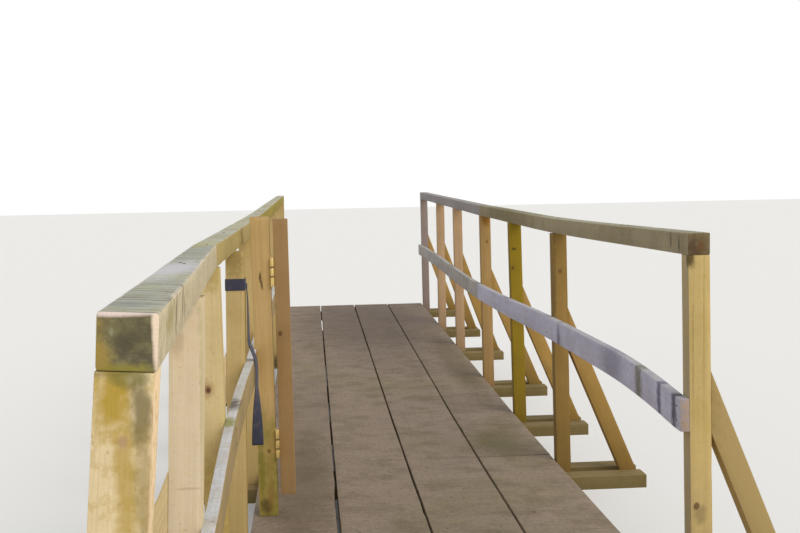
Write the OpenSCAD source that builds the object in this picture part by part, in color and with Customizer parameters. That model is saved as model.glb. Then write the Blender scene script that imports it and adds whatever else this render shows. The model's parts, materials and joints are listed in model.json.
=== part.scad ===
// Timber footbridge with braced handrails and the hanging stile of a side gate.
// X runs across the bridge, Y along it and Z up, from the middle of the ground under it.

/* [Frame spacing] */
// Distance from the deck's end to the middle of the first and last frame
end_margin = 150; // [150:5:200]
// First bay, from frame 1 to frame 2
bay_1 = 943; // [700:1:1500]
// Second bay, from frame 2 to frame 3
bay_2 = 969; // [700:1:1500]
// Third bay, from frame 3 to frame 4
bay_3 = 706; // [600:1:1500]
// Fourth bay, from frame 4 to frame 5
bay_4 = 1044; // [800:1:1500]
// Fifth bay, from frame 5 to frame 6
bay_5 = 1033; // [700:1:1500]
// Sixth bay, from frame 6 to frame 7
bay_6 = 1030; // [700:1:1500]
// Seventh bay, from frame 7 to frame 8
bay_7 = 1338; // [700:1:1500]
// Eighth bay, from frame 8 to frame 9
bay_8 = 1141; // [700:1:1500]
// Ninth bay, from frame 9 to frame 10
bay_9 = 1316; // [700:1:1500]
// Sag of the bridge at its lowest frame
sag = 40; // [0:1:80]
// Unit of stray that the tables of posts, rails and midrails count, so 0 makes a true new bridge
stray = 10; // [0:0.5:12]

/* [Deck] */
// Width of a deck plank
plank_w = 300; // [200:5:350]
// Width of the plank along the right-hand edge
edge_plank_w = 310; // [200:5:350]
// Thickness of a deck plank
plank_t = 50; // [32:1:75]
// Open joint between two lines of planks
plank_gap = 8; // [3:1:20]
// Open joint between the ends of two timbers in one line
butt_gap = 3; // [1:1:8]

/* [Bearers] */
// Width of a main beam
beam_w = 100; // [75:5:150]
// Height of a main beam
beam_h = 220; // [150:5:300]
// Distance between the middles of the two main beams
beam_spacing = 800; // [600:10:1000]
// Width of an end sill along the bridge
sill_w = 200; // [150:5:280]
// Height of an end sill
sill_h = 150; // [100:5:250]
// Length of an end sill across the bridge
sill_l = 1400; // [1200:10:1800]

/* [Cross joists] */
// Width of one of the two joists of a frame
joist_w = 100; // [50:5:120]
// Height of a cross joist
joist_t = 55; // [45:1:100]
// Length of a cross joist that carries struts at both ends
joist_l = 1970; // [1800:10:2200]
// Length of the same joist at the last three frames
far_joist_l = 1890; // [1800:10:2200]
// Reach of a cross joist past the deck's edge, where it carries nothing
stub = 20; // [0:1:60]

/* [Posts and struts] */
// Side of a handrail post
post_w = 60; // [50:1:90]
// Length of a post below the cross joists
post_tail = 30; // [0:1:80]
// Least gap between the deck's edge and a post's foot
post_gap = 2; // [1:0.5:20]
// Width of a strut
strut_w = 63; // [45:1:90]
// Height of a strut's head above the deck
strut_rise = 644; // [500:1:800]
// Reach of a strut's foot past the end of its cross joists
strut_out = 5; // [0:1:30]

/* [Rails] */
// Width of a handrail
rail_w = 62; // [50:1:100]
// Height of a handrail's section
rail_t = 60; // [40:1:90]
// Height of the handrails' tops above the deck
rail_h = 1020; // [900:5:1200]
// Height of a midrail board
mid_w = 90; // [60:1:140]
// Thickness of a midrail board
mid_t = 26; // [18:1:45]
// Height of the midrails' tops above the deck
mid_h = 565; // [450:1:700]

/* [Gate] */
// Side of the gate post
gate_post_w = 66; // [50:1:90]
// Height of the gate post above the deck
gate_post_h = 1067; // [900:1:1200]
// Distance of the gate post behind frame 4
gate_setback = 362; // [250:1:450]
// Depth of the gate post's housing for the midrail
gate_housing = 9; // [5:0.5:20]
// Clearance above and below the midrail in the housing
housing_fit = 0.5; // [0.2:0.1:2]
// Lean of the gate post and its stile towards the left handrail, in degrees
gate_lean = 0.3; // [0:0.1:3]
// Width of the hanging stile
stile_w = 52; // [40:1:80]
// Thickness of the hanging stile
stile_t = 40; // [28:1:60]
// Length of the hanging stile
stile_l = 982; // [800:1:1080]
// Height of the stile's lower end above the deck
stile_lift = 76; // [40:1:100]
// Gap between the gate post and the stile
stile_gap = 13; // [10:0.5:18]

/* [Hinges] */
// Height of a hinge
hinge_h = 100; // [60:1:130]
// Distance of a hinge from the stile's end
hinge_inset = 136; // [60:1:200]
// Reach of a hinge leaf between the timbers
leaf_w = 32; // [20:1:38]
// Thickness of a hinge leaf
leaf_t = 2.5; // [1.5:0.1:3.5]
// Radius of a hinge knuckle
knuckle_r = 6.5; // [5:0.1:8]
// Radius of a hinge pin
pin_r = 2.5; // [1.5:0.1:3.5]
// Running clearance of a hinge pin and between knuckles
hinge_clear = 0.1; // [0.05:0.01:0.3]
// Space between the knuckles and the timbers' faces, and round a knuckle in the other leaf
knuckle_space = 0.6; // [0.4:0.1:2]
// Overhang and thickness of a hinge pin's head, and reach of its lower end
pin_head = 1.2; // [0.8:0.1:2]

/* [Strap] */
// Width of the webbing strap
strap_w = 38; // [20:1:60]
// Thickness of the webbing strap
strap_t = 3; // [2:0.5:6]
// Distance from the handrail's underside down to the strap
strap_drop = 87; // [40:1:200]
// Reach of the strap's loose end below the midrail
tail_drop = 192; // [60:1:300]
// Space between the loose end and the timbers that it hangs past
tail_space = 2; // [1:1:20]
// Turn of the loose end where it hangs past the midrail, in degrees
tail_turn_top = 12; // [0:2:40]
// Turn of the loose end at its tip, in degrees
tail_turn_tip = 85; // [0:5:100]

/* [Hidden] */
$fn = 48;
left = -1;
right = 1;

// Frames along the bridge, with a zero first so that frame 1 is entry 1
bays = [bay_1, bay_2, bay_3, bay_4, bay_5, bay_6, bay_7, bay_8, bay_9];
function total(v, n) = n <= 0 ? 0 : v[n - 1] + total(v, n - 1);
deck_l = total(bays, len(bays)) + 2 * end_margin;
frame_y = [for (i = [0:len(bays) + 1]) i == 0 ? 0 : end_margin + total(bays, i - 1) - deck_l / 2];
left_frames = [1, 2, 3, 4, 5, 6, 7, 8, 9, 10];
right_frames = [3, 5, 6, 7, 8, 9, 10];

// Levels of the flat deck, before the sag
beam_z = sill_h;
joist_z = beam_z + beam_h;
plank_z = joist_z + joist_t;
deck_z = plank_z + plank_t;
plank_lines = 4;
deck_left = (plank_lines * plank_w + (plank_lines - 1) * plank_gap) / 2;
deck_right = deck_left - plank_w + edge_plank_w;
function deck_edge(side) = side == left ? deck_left : deck_right;

// The bridge sags in straight lengths between its frames and lies level over each pair of joists
frame_half = post_w / 2 + joist_w;
sag_share = [0, 0, 0.2, 0.5, 0.78, 0.96, 1, 0.76, 0.48, 0.22, 0];
bends = [for (i = [1:10], e = [-1, 1]) frame_y[i] + e * frame_half];
drop_table = [for (i = [1:10], e = [-1, 1]) [frame_y[i] + e * frame_half, -sag * sag_share[i]]];
function drop(y) = lookup(y, drop_table);

// Stray of each frame's timbers, in the unit above: a post's foot outwards from its least gap
foot_stray = [
    [0, 2, 0.6, 0.2, 0.2, 0.3, 0.3, 0.3, 0.3, 0.3, 0.3],
    [0, 0, 0, 1.3, 0, 0.6, 0.7, 0.2, 0.4, 0.2, 0.2]
];
// Lean of a post's top inwards from its foot
top_stray = [
    [0, 9.2, 4.2, -0.7, 2, 0, 0, 0, 0, 0, 0],
    [0, 0, 0, 1, 0, 1.2, 1.9, 1.2, 1, 0.3, 0.7]
];
// Set of the handrail outwards from the middle of a post's top
rail_stray = [
    [0, -0.2, 0.7, 0.8, 3, 0.7, 0.5, 0.3, 0.2, 0, 0],
    [0, 0, 0, 0, 0, 0, 0, 0, 0, 0, 0]
];
// Rise of the handrail and of the midrail above their even heights
rail_rise = [
    [0, 1.1, 0.1, -0.5, 0.6, 1.3, 1.3, 1.1, 0.8, 0.4, 0],
    [0, 0, 0, -0.2, 0, -0.4, 0.6, 0, 0.1, 0, 0.6]
];
mid_rise = [
    [0, -3.5, -2.8, -2, 4.3, 2.5, 1, -0.5, -0.5, -0.5, -0.5],
    [0, 0, 0, 0.3, 0, 4.2, 1.7, -0.8, -1.3, -0.9, -1.5]
];
// Roll of the handrail on its posts' slanting heads, each unit a slope of one in a thousand per stray
roll_stray = [
    [0, 6, 2.5, 0, 0, 0, 0, 0, 0, 0, 0],
    [0, 0, 0, 0, 0, 0, 0, 0, 0, 0, 0]
];
function strayed(table, side, i) = stray * table[side == left ? 0 : 1][i];
function side_frames(side) = side == left ? left_frames : right_frames;
function foot_x(side, i) =
    side * (deck_edge(side) + post_gap + post_w / 2 + strayed(foot_stray, side, i));
function top_x(side, i) = foot_x(side, i) - side * strayed(top_stray, side, i);

// Middle of a handrail across the bridge, and the level of its underside, straight over each post
function rail_x_at(side, i) = top_x(side, i) + side * strayed(rail_stray, side, i);
function rail_z_at(side, i) =
    deck_z + drop(frame_y[i]) + rail_h - rail_t + strayed(rail_rise, side, i);
function rail_x(side, y) = lookup(y, [for (i = side_frames(side)) [frame_y[i], rail_x_at(side, i)]]);
function rail_line(side, y) = lookup(y, [for (i = side_frames(side)) [frame_y[i], rail_z_at(side, i)]]);
function rail_seats(side) = [
    for (i = side_frames(side), e = [-1, 1])
        [frame_y[i] + e * post_w / 2, rail_line(side, frame_y[i] + e * post_w / 2)]
];
function rail_z(side, y) = lookup(y, rail_seats(side));
function rail_roll(side, y) = lookup(y, [
    for (i = side_frames(side), e = [-1, 1])
        [frame_y[i] + e * post_w / 2, strayed(roll_stray, side, i) / 1000]
]);

// Foot and lean of a post, and the inner face that carries the midrail
function foot_z(i) = joist_z + drop(frame_y[i]) - post_tail;
function post_lean(side, i) =
    (top_x(side, i) - foot_x(side, i)) / (rail_z_at(side, i) - foot_z(i));
function post_x(side, i, z) = foot_x(side, i) + post_lean(side, i) * (z - foot_z(i));
function inner_x(side, i, z) = post_x(side, i, z) - side * post_w / 2;
function outer_x(side, i, z) = post_x(side, i, z) + side * post_w / 2;

// Level of a post's head under the rolled handrail, at a face this far across from its middle
function head_z(side, i, y, across) =
    (rail_z(side, y) - rail_roll(side, y) * (post_x(side, i, 0) + across - rail_x(side, y)))
    / (1 + rail_roll(side, y) * post_lean(side, i));

// Level of the middle of a midrail at each frame
function mid_level(side, i) =
    deck_z + drop(frame_y[i]) + mid_h + strayed(mid_rise, side, i) - mid_w / 2;

// The gate post stands on the deck behind frame 4, housed over the left midrail
gate_k = -tan(gate_lean);
gate_y = frame_y[4] + gate_setback;
gate_z = deck_z + drop(gate_y);
left_mid_faces = [for (i = left_frames) [frame_y[i], inner_x(left, i, mid_level(left, i))]];
left_mid_levels = [for (i = left_frames) [frame_y[i], mid_level(left, i)]];
gate_mid_x = lookup(gate_y, left_mid_faces);
gate_mid_z = lookup(gate_y, left_mid_levels);
gate_face_x = gate_mid_x + mid_t - gate_housing;
function gate_left_x(z) = gate_face_x + gate_k * (z - gate_mid_z);

// Sections of a midrail: place along the bridge, outer face, level of its middle, and lean
function mid_stop(side, i, e) = [
    frame_y[i] + e * post_w / 2, inner_x(side, i, mid_level(side, i)),
    mid_level(side, i), post_lean(side, i)
];
function between(a, b, share) = a + (b - a) * share;
function mid_bow(side, i, j, share, bow) = [
    between(frame_y[i], frame_y[j], share),
    between(inner_x(side, i, mid_level(side, i)), inner_x(side, j, mid_level(side, j)), share),
    between(mid_level(side, i), mid_level(side, j), share) + bow * stray,
    between(post_lean(side, i), post_lean(side, j), share)
];
gate_stops = [for (e = [-1, 1]) [gate_y + e * gate_post_w / 2, gate_mid_x, gate_mid_z, gate_k]];

// Four corners of a section across the bridge, from the near left foot clockwise
function box_section(y, x0, x1, z0, z1) = [[x0, y, z0], [x0, y, z1], [x1, y, z1], [x1, y, z0]];
function turned(q, side) = side > 0 ? q : [q[3], q[2], q[1], q[0]];

// A timber through a row of four-cornered sections, each further along the bridge
// Opposite faces are split along one diagonal, so a twisted strip keeps its thickness
module timber(sections) {
    n = len(sections);
    polyhedron(
        points = [for (s = sections) each s],
        faces = concat(
            [[0, 1, 2, 3]],
            [for (i = [0:n - 2], j = [0:3]) let (a = 4 * i + j, b = 4 * i + (j + 1) % 4)
                each j < 2 ? [[a, a + 4, b + 4], [a, b + 4, b]] : [[a, a + 4, b], [b, a + 4, b + 4]]],
            [[for (j = [3:-1:0]) 4 * (n - 1) + j]]
        )
    );
}

// A level timber that follows the sag from one place to another
function stops(y0, y1) = [y0, each [for (y = bends) if (y > y0 && y < y1) y], y1];
module sagging_timber(x, w, z, h, y0, y1) {
    timber([for (y = stops(y0, y1)) box_section(y, x - w / 2, x + w / 2, z + drop(y), z + drop(y) + h)]);
}

module end_sill(end) {
    y = end * (deck_l / 2 - end_margin);
    translate([-sill_l / 2, y - sill_w / 2, 0]) cube([sill_l, sill_w, sill_h]);
}

module main_beam(side) {
    sagging_timber(side * beam_spacing / 2, beam_w, beam_z, beam_h, -deck_l / 2, deck_l / 2);
}

// Two joists that hold the feet of a frame's posts and struts between them
function joist_reach(i) = (i < 8 ? joist_l : far_joist_l) / 2;
module cross_joist(i) {
    reach_left = joist_reach(i);
    reach_right = len(search(i, right_frames)) > 0 ? joist_reach(i) : deck_right + stub;
    for (e = [-1, 1]) {
        y0 = frame_y[i] + (e < 0 ? -frame_half : post_w / 2);
        sagging_timber((reach_right - reach_left) / 2, reach_left + reach_right,
            joist_z, joist_t, y0, y0 + joist_w);
    }
}

// A line of planks in three lengths, which meet over the far joist of two frames
module deck_plank(line, breaks) {
    w = line == plank_lines ? edge_plank_w : plank_w;
    x = (line - (plank_lines + 1) / 2) * (plank_w + plank_gap) + (w - plank_w) / 2;
    cuts = [for (i = breaks) frame_y[i] + post_w / 2 + joist_w / 2];
    starts = [-deck_l / 2, each [for (y = cuts) y + butt_gap / 2]];
    ends = [each [for (y = cuts) y - butt_gap / 2], deck_l / 2];
    for (i = [0:len(starts) - 1])
        sagging_timber(x, w, plank_z, plank_t, starts[i], ends[i]);
}

module post(side, i) {
    half = post_w / 2;
    z0 = foot_z(i);
    timber([for (e = [-1, 1])
        let (y = frame_y[i] + e * half, z1 = head_z(side, i, y, -half), z2 = head_z(side, i, y, half))
        [
            [post_x(side, i, z0) - half, y, z0], [post_x(side, i, z1) - half, y, z1],
            [post_x(side, i, z2) + half, y, z2], [post_x(side, i, z0) + half, y, z0]
        ]
    ]);
}

// A raking strut from between the ends of the cross joists to the post's outer face
module strut(side, i) {
    z0 = joist_z + drop(frame_y[i]);
    z1 = deck_z + drop(frame_y[i]) + strut_rise;
    foot = side * (joist_reach(i) + strut_out);
    face = outer_x(side, i, z0);
    slope = (outer_x(side, i, z1) - foot) / (z1 - z0);
    level_w = strut_w * sqrt(1 + slope * slope);
    crotch = z0 + (z1 - z0) * (1 - level_w / abs(foot - face));
    timber([for (e = [-1, 1]) let (y = frame_y[i] + e * post_w / 2)
        turned([
            [foot - side * level_w, y, z0], [outer_x(side, i, crotch), y, crotch],
            [outer_x(side, i, z1), y, z1], [foot, y, z0]
        ], side)
    ]);
}

// A handrail from one frame to another, spliced over a post's middle or flush with its far side
module top_rail(side, first, last, start, end) {
    frames = [for (i = side_frames(side)) if (i >= first && i <= last) i];
    y0 = frame_y[first] + start;
    y1 = frame_y[last] + end;
    seats = [for (i = frames, e = [-1, 1]) frame_y[i] + e * post_w / 2];
    timber([for (y = [y0, each [for (v = seats) if (v > y0 && v < y1) v], y1])
        let (x = rail_x(side, y), z = rail_z(side, y), roll = rail_roll(side, y))
        [for (c = [[-1, 0], [-1, 1], [1, 1], [1, 0]])
            [x + c[0] * rail_w / 2 + c[1] * rail_t * roll, y, z - c[0] * rail_w / 2 * roll + c[1] * rail_t]]
    ]);
}

// A midrail board along the inner faces of the posts, through a row of its own sections
module midrail(side, rows) {
    timber([for (r = rows) let (lean = r[3] * mid_w / 2, x = r[1] - side * mid_t)
        turned([
            [x - lean, r[0], r[2] - mid_w / 2], [x + lean, r[0], r[2] + mid_w / 2],
            [r[1] + lean, r[0], r[2] + mid_w / 2], [r[1] - lean, r[0], r[2] - mid_w / 2]
        ], side)
    ]);
}

module end_sill_near() { color("#6b5d48") end_sill(-1); }
module end_sill_far() { color("#6b5d48") end_sill(1); }
module main_beam_left() { color("#75664d") main_beam(left); }
module main_beam_right() { color("#75664d") main_beam(right); }
module cross_joists_near() { color("#8a8058") for (i = [1:4]) cross_joist(i); }
module cross_joist_5() { color("#8a8058") cross_joist(5); }
module cross_joist_6() { color("#8a8058") cross_joist(6); }
module cross_joist_7() { color("#8a8058") cross_joist(7); }
module cross_joist_8() { color("#8a8058") cross_joist(8); }
module cross_joist_9() { color("#8a8058") cross_joist(9); }
module cross_joist_10() { color("#8a8058") cross_joist(10); }
module deck_plank_1() { color("#857a6d") deck_plank(1, [3, 7]); }
module deck_plank_2() { color("#857a6d") deck_plank(2, [5, 8]); }
module deck_plank_3() { color("#857a6d") deck_plank(3, [3, 7]); }
module deck_plank_4() { color("#857a6d") deck_plank(4, [5, 8]); }
module left_post_1() { color("#c9b169") post(left, 1); }
module left_post_2() { color("#cdbd92") post(left, 2); }
module left_post_3() { color("#c9bb8a") post(left, 3); }
module left_post_4() { color("#c4b385") post(left, 4); }
module left_posts_far() { color("#c4b385") for (i = [5:10]) post(left, i); }
module right_post_3() { color("#c9b47b") post(right, 3); }
module right_post_5() { color("#b3995c") post(right, 5); }
module right_post_6() { color("#b29a35") post(right, 6); }
module right_post_7() { color("#bb9c66") post(right, 7); }
module right_post_8() { color("#bea27c") post(right, 8); }
module right_post_9() { color("#b8a283") post(right, 9); }
module right_post_10() { color("#a3958a") post(right, 10); }
module left_struts() { color("#bda46a") for (i = left_frames) strut(left, i); }
module right_struts() { color("#bda46a") for (i = right_frames) strut(right, i); }

rail_end = post_w / 2;
rail_cut = butt_gap / 2;
module left_top_rail_near() { color("#a3a392") top_rail(left, 1, 3, -rail_end, -rail_cut); }
module left_top_rail_mid() { color("#a3a392") top_rail(left, 3, 5, rail_cut, -rail_cut); }
module left_top_rail_far() { color("#a3a392") top_rail(left, 5, 10, rail_cut, rail_end); }
module right_top_rail_near() { color("#8f8873") top_rail(right, 3, 7, -rail_end, -rail_cut); }
module right_top_rail_far() { color("#9a918c") top_rail(right, 7, 10, rail_cut, rail_end); }

// Both midrails change boards over a post, where each board bears on half of it
function mid_cut(side, i, e) = [
    frame_y[i] + e * butt_gap / 2, inner_x(side, i, mid_level(side, i)),
    mid_level(side, i), post_lean(side, i)
];
module left_midrail_near() {
    color("#9d9c9c") midrail(left, [
        mid_stop(left, 1, -1), mid_stop(left, 1, 1), mid_bow(left, 1, 2, 0.5, 0.4),
        mid_stop(left, 2, -1), mid_stop(left, 2, 1), mid_bow(left, 2, 3, 0.5, 0.5),
        mid_stop(left, 3, -1), mid_stop(left, 3, 1), mid_bow(left, 3, 4, 0.4, 1.2),
        mid_stop(left, 4, -1), mid_cut(left, 4, -1)
    ]);
}
module left_midrail_far() {
    color("#9d9c9c") midrail(left, [
        mid_cut(left, 4, 1), mid_stop(left, 4, 1), each gate_stops,
        each [for (i = [5:10], e = [-1, 1]) mid_stop(left, i, e)]
    ]);
}
module right_midrail_near() {
    color("#9b99a0") midrail(right, [
        mid_stop(right, 3, -1), mid_stop(right, 3, 1), mid_bow(right, 3, 5, 0.25, 2.6),
        mid_bow(right, 3, 5, 0.65, 1.4), mid_stop(right, 5, -1), mid_stop(right, 5, 1),
        mid_bow(right, 5, 6, 0.5, 0.2), mid_stop(right, 6, -1), mid_stop(right, 6, 1),
        mid_bow(right, 6, 7, 0.5, 0), mid_stop(right, 7, -1), mid_cut(right, 7, -1)
    ]);
}
module right_midrail_far() {
    color("#9b99a0") midrail(right, [
        mid_cut(right, 7, 1), mid_stop(right, 7, 1), mid_bow(right, 7, 8, 0.5, -0.3),
        mid_stop(right, 8, -1), mid_stop(right, 8, 1), mid_bow(right, 8, 9, 0.5, 0.3),
        mid_stop(right, 9, -1), mid_stop(right, 9, 1), mid_bow(right, 9, 10, 0.5, 0.3),
        mid_stop(right, 10, -1), mid_stop(right, 10, 1)
    ]);
}

// Its housing is cut as deep as the midrail reaches into it
module gate_post() {
    z1 = gate_z + gate_post_h;
    half = gate_post_w / 2;
    color("#c2ab78") difference() {
        timber([for (y = stops(gate_y - half, gate_y + half)) let (z0 = deck_z + drop(y))
            [
                [gate_left_x(z0), y, z0], [gate_left_x(z1), y, z1],
                [gate_left_x(z1) + gate_post_w, y, z1], [gate_left_x(z0) + gate_post_w, y, z0]
            ]
        ]);
        timber([for (e = [-1, 1]) let (y = gate_y + 2 * e * half, x = gate_mid_x + mid_t)
            [for (c = [[-2, -1], [-2, 1], [0, 1], [0, -1]]) let (h = c[1] * (mid_w / 2 + housing_fit))
                [x + c[0] * mid_t + gate_k * h, y, gate_mid_z + h]]
        ]);
    }
}

// The hinge line leans with the gate post, just in front of the gap between post and stile
knuckle_out = knuckle_r + knuckle_space;
hinge_x = gate_left_x(gate_z) + gate_post_w + stile_gap / 2 / cos(gate_lean);
hinge_y = gate_y - gate_post_w / 2 - knuckle_out;
module on_hinge_line() {
    translate([hinge_x, hinge_y, gate_z]) rotate([0, -gate_lean, 0]) children();
}
module at_hinges() {
    on_hinge_line() for (z = [stile_lift + hinge_inset, stile_lift + stile_l - hinge_inset - hinge_h])
        translate([0, 0, z]) children();
}

// A knuckle is a third of the hinge; the post's leaf has the outer two and the stile's the middle one
knuckle_h = hinge_h / 3;
module knuckle(i) {
    translate([0, 0, i * knuckle_h + hinge_clear]) difference() {
        cylinder(r = knuckle_r, h = knuckle_h - 2 * hinge_clear);
        translate([0, 0, -1]) cylinder(r = pin_r + hinge_clear, h = knuckle_h + 2);
    }
}
module hinge_leaf(side, own, other) {
    difference() {
        translate([side > 0 ? stile_gap / 2 - leaf_t : -stile_gap / 2, 0, 0])
            cube([leaf_t, knuckle_out + leaf_w, hinge_h]);
        for (i = other) translate([0, 0, i * knuckle_h - hinge_clear])
            cylinder(r = knuckle_r + knuckle_space, h = knuckle_h + 2 * hinge_clear);
        translate([0, 0, -1]) cylinder(r = pin_r + hinge_clear, h = hinge_h + 2);
    }
    for (i = own) knuckle(i);
}

module gate_stile() {
    color("#bc9f74") on_hinge_line()
        translate([stile_gap / 2, knuckle_out, stile_lift]) cube([stile_w, stile_t, stile_l]);
}
module hinge_leaf_post() { color("#d8b45a") at_hinges() hinge_leaf(left, [0, 2], [1]); }
module hinge_leaf_stile() { color("#d8b45a") at_hinges() hinge_leaf(right, [1], [0, 2]); }
module hinge_pin() {
    color("#d8b45a") at_hinges() {
        translate([0, 0, -pin_head]) cylinder(r = pin_r, h = hinge_h + pin_head - hinge_clear);
        translate([0, 0, hinge_h - hinge_clear]) cylinder(r = pin_r + pin_head, h = pin_head);
    }
}

// The strap is tied round the fourth left post, with a loose end over the midrail
strap_z = rail_z_at(left, 4) - strap_drop - strap_w;
module strap_band() {
    module ring(w, grow) {
        z0 = strap_z - grow;
        z1 = strap_z + strap_w + grow;
        timber([for (e = [-1, 1]) let (y = frame_y[4] + e * w / 2)
            [
                [post_x(left, 4, z0) - w / 2, y, z0], [post_x(left, 4, z1) - w / 2, y, z1],
                [post_x(left, 4, z1) + w / 2, y, z1], [post_x(left, 4, z0) + w / 2, y, z0]
            ]
        ]);
    }
    color("#4d5566") difference() {
        ring(post_w + 2 * strap_t, 0);
        ring(post_w, 1);
    }
}

// Path of the loose end: off the strap, past the midrail's inner edge, then turning as it hangs
function band_x(z) = inner_x(left, 4, z) + strap_t;
mid_top = mid_level(left, 4) + mid_w / 2;
mid_foot = mid_top - mid_w;
tail_x = inner_x(left, 4, mid_foot) + mid_t + tail_space + strap_w / 2 * sin(tail_turn_top);
function bulge(share) = sin(180 * share);
tail_rows = [
    for (z = [strap_z + strap_w / 2, strap_z]) [band_x(z), z, 0],
    for (share = [0.15, 0.75])
        [band_x(strap_z) + tail_space, between(strap_z, mid_top, share), tail_turn_top * share],
    for (share = [0:0.25:1])
        [tail_x + bulge(share) * tail_space, between(mid_top + tail_space, mid_foot, share), tail_turn_top],
    for (share = [0.125:0.125:1])
        [tail_x, mid_foot - share * tail_drop, between(tail_turn_top, tail_turn_tip, share)]
];
module strap_tail() {
    color("#4d5566") timber([for (r = tail_rows) let (c = cos(r[2]), s = sin(r[2]))
        [for (p = [[0, -1], [0, 1], [1, 1], [1, -1]]) let (u = p[0] * strap_t, v = p[1] * strap_w / 2)
            [r[0] + u * c + v * s, frame_y[4] + strap_w / 2 - u * s + v * c, r[1]]]
    ]);
}

end_sill_near();
end_sill_far();
main_beam_left();
main_beam_right();
cross_joists_near();
cross_joist_5();
cross_joist_6();
cross_joist_7();
cross_joist_8();
cross_joist_9();
cross_joist_10();
deck_plank_1();
deck_plank_2();
deck_plank_3();
deck_plank_4();
left_post_1();
left_post_2();
left_post_3();
left_post_4();
left_posts_far();
right_post_3();
right_post_5();
right_post_6();
right_post_7();
right_post_8();
right_post_9();
right_post_10();
left_struts();
right_struts();
left_top_rail_near();
left_top_rail_mid();
left_top_rail_far();
right_top_rail_near();
right_top_rail_far();
left_midrail_near();
left_midrail_far();
right_midrail_near();
right_midrail_far();
gate_post();
gate_stile();
hinge_leaf_post();
hinge_leaf_stile();
hinge_pin();
strap_band();
strap_tail();
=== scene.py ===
# %% [markdown]
# # A timber footbridge that has stood in a wet wood
#
# The bridge is sawn pine, pressure treated and left bare: pale yellow and olive posts,
# silver handrails, lavender grey midrails and a worn brown deck. The frame file gives each
# timber at its true size and place. This lesson gives each one eased edges, grain that
# follows its own length, and the stains that its place on the bridge earned. Lengths are
# in metres, +Y runs along the bridge and +Z is up.

# %% Load the frame
import json
import math
import random

import bmesh
import bpy
import numpy as np
from mathutils import Matrix, Vector, noise
from mathutils.bvhtree import BVHTree


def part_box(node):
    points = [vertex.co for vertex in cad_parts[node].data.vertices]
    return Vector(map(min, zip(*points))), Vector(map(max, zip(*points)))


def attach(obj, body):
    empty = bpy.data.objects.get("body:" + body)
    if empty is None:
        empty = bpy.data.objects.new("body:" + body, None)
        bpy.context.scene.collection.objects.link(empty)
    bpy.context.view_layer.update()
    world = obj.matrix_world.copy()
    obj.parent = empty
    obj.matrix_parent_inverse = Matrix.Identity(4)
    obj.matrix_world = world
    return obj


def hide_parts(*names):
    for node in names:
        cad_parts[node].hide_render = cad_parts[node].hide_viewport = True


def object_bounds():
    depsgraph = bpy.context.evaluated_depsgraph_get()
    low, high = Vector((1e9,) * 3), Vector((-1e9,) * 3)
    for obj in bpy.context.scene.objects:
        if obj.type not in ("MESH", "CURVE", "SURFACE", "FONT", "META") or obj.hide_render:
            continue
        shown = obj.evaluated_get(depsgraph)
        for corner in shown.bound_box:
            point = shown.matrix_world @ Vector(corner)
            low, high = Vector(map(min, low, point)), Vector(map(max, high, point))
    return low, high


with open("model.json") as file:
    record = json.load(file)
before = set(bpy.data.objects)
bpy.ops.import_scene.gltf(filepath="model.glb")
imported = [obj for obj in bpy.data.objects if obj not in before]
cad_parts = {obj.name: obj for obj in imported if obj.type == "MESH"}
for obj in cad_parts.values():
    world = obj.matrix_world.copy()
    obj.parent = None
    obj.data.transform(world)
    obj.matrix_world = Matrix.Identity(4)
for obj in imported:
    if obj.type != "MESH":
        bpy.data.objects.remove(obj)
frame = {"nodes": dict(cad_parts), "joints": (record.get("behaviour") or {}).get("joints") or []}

cad_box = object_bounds()
mm = 0.001
print("CAD nodes:", len(frame["nodes"]))

# %% [markdown]
# Colours are written as the hex values that a screen shows. A shader adds and multiplies
# light, so it needs linear values, and this one function makes the turn.

# %% Colours
def linear(hex_code):
    channels = [int(hex_code[i:i + 2], 16) / 255 for i in (1, 3, 5)]
    light = [c / 12.92 if c <= 0.04045 else ((c + 0.055) / 1.055) ** 2.4 for c in channels]
    return (*light, 1.0)

print("mid grey is", round(linear("#808080")[0], 3), "in linear light")

# %% [markdown]
# The view is a walker's, just short of the near end and a little left of the middle, with
# the eye 1.6 m over the ground. A 53 mm lens on a full frame has the right angle. Yaw,
# pitch and roll are easier to reason about than Euler angles, so the camera's matrix is
# built from its three axes.

# %% Camera
def put(name, data):
    thing = bpy.data.objects.new(name, data)
    bpy.context.scene.collection.objects.link(thing)
    return thing

eye = Vector((-381.7, -5986.2, 1635.3)) * mm
yaw, pitch, roll = (math.radians(a) for a in (4.273, 4.274, -1.107))
level_right = Vector((math.cos(yaw), -math.sin(yaw), 0))
level_ahead = Vector((math.sin(yaw), math.cos(yaw), 0))
upright = Vector((0, 0, 1))
ahead = level_ahead * math.cos(pitch) - upright * math.sin(pitch)
overhead = level_ahead * math.sin(pitch) + upright * math.cos(pitch)
camera_right = level_right * math.cos(roll) + overhead * math.sin(roll)
camera_up = overhead * math.cos(roll) - level_right * math.sin(roll)
camera = put("camera", bpy.data.cameras.new("camera"))
turned = Matrix((camera_right, camera_up, -ahead)).transposed().to_4x4()
camera.matrix_world = Matrix.Translation(eye) @ turned
camera.data.sensor_width = 36
camera.data.lens = 53.35
camera.data.clip_end = 100
bpy.context.scene.camera = camera
print("camera looks along", [round(c, 3) for c in ahead])

# %% [markdown]
# One small function adds any node to any tree. Its inputs are a list in the node's own
# order, or a dictionary with their names or numbers. A node given as an input stands for
# its first output, a pair of node and socket stands for that output, and anything else is
# a value.

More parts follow.
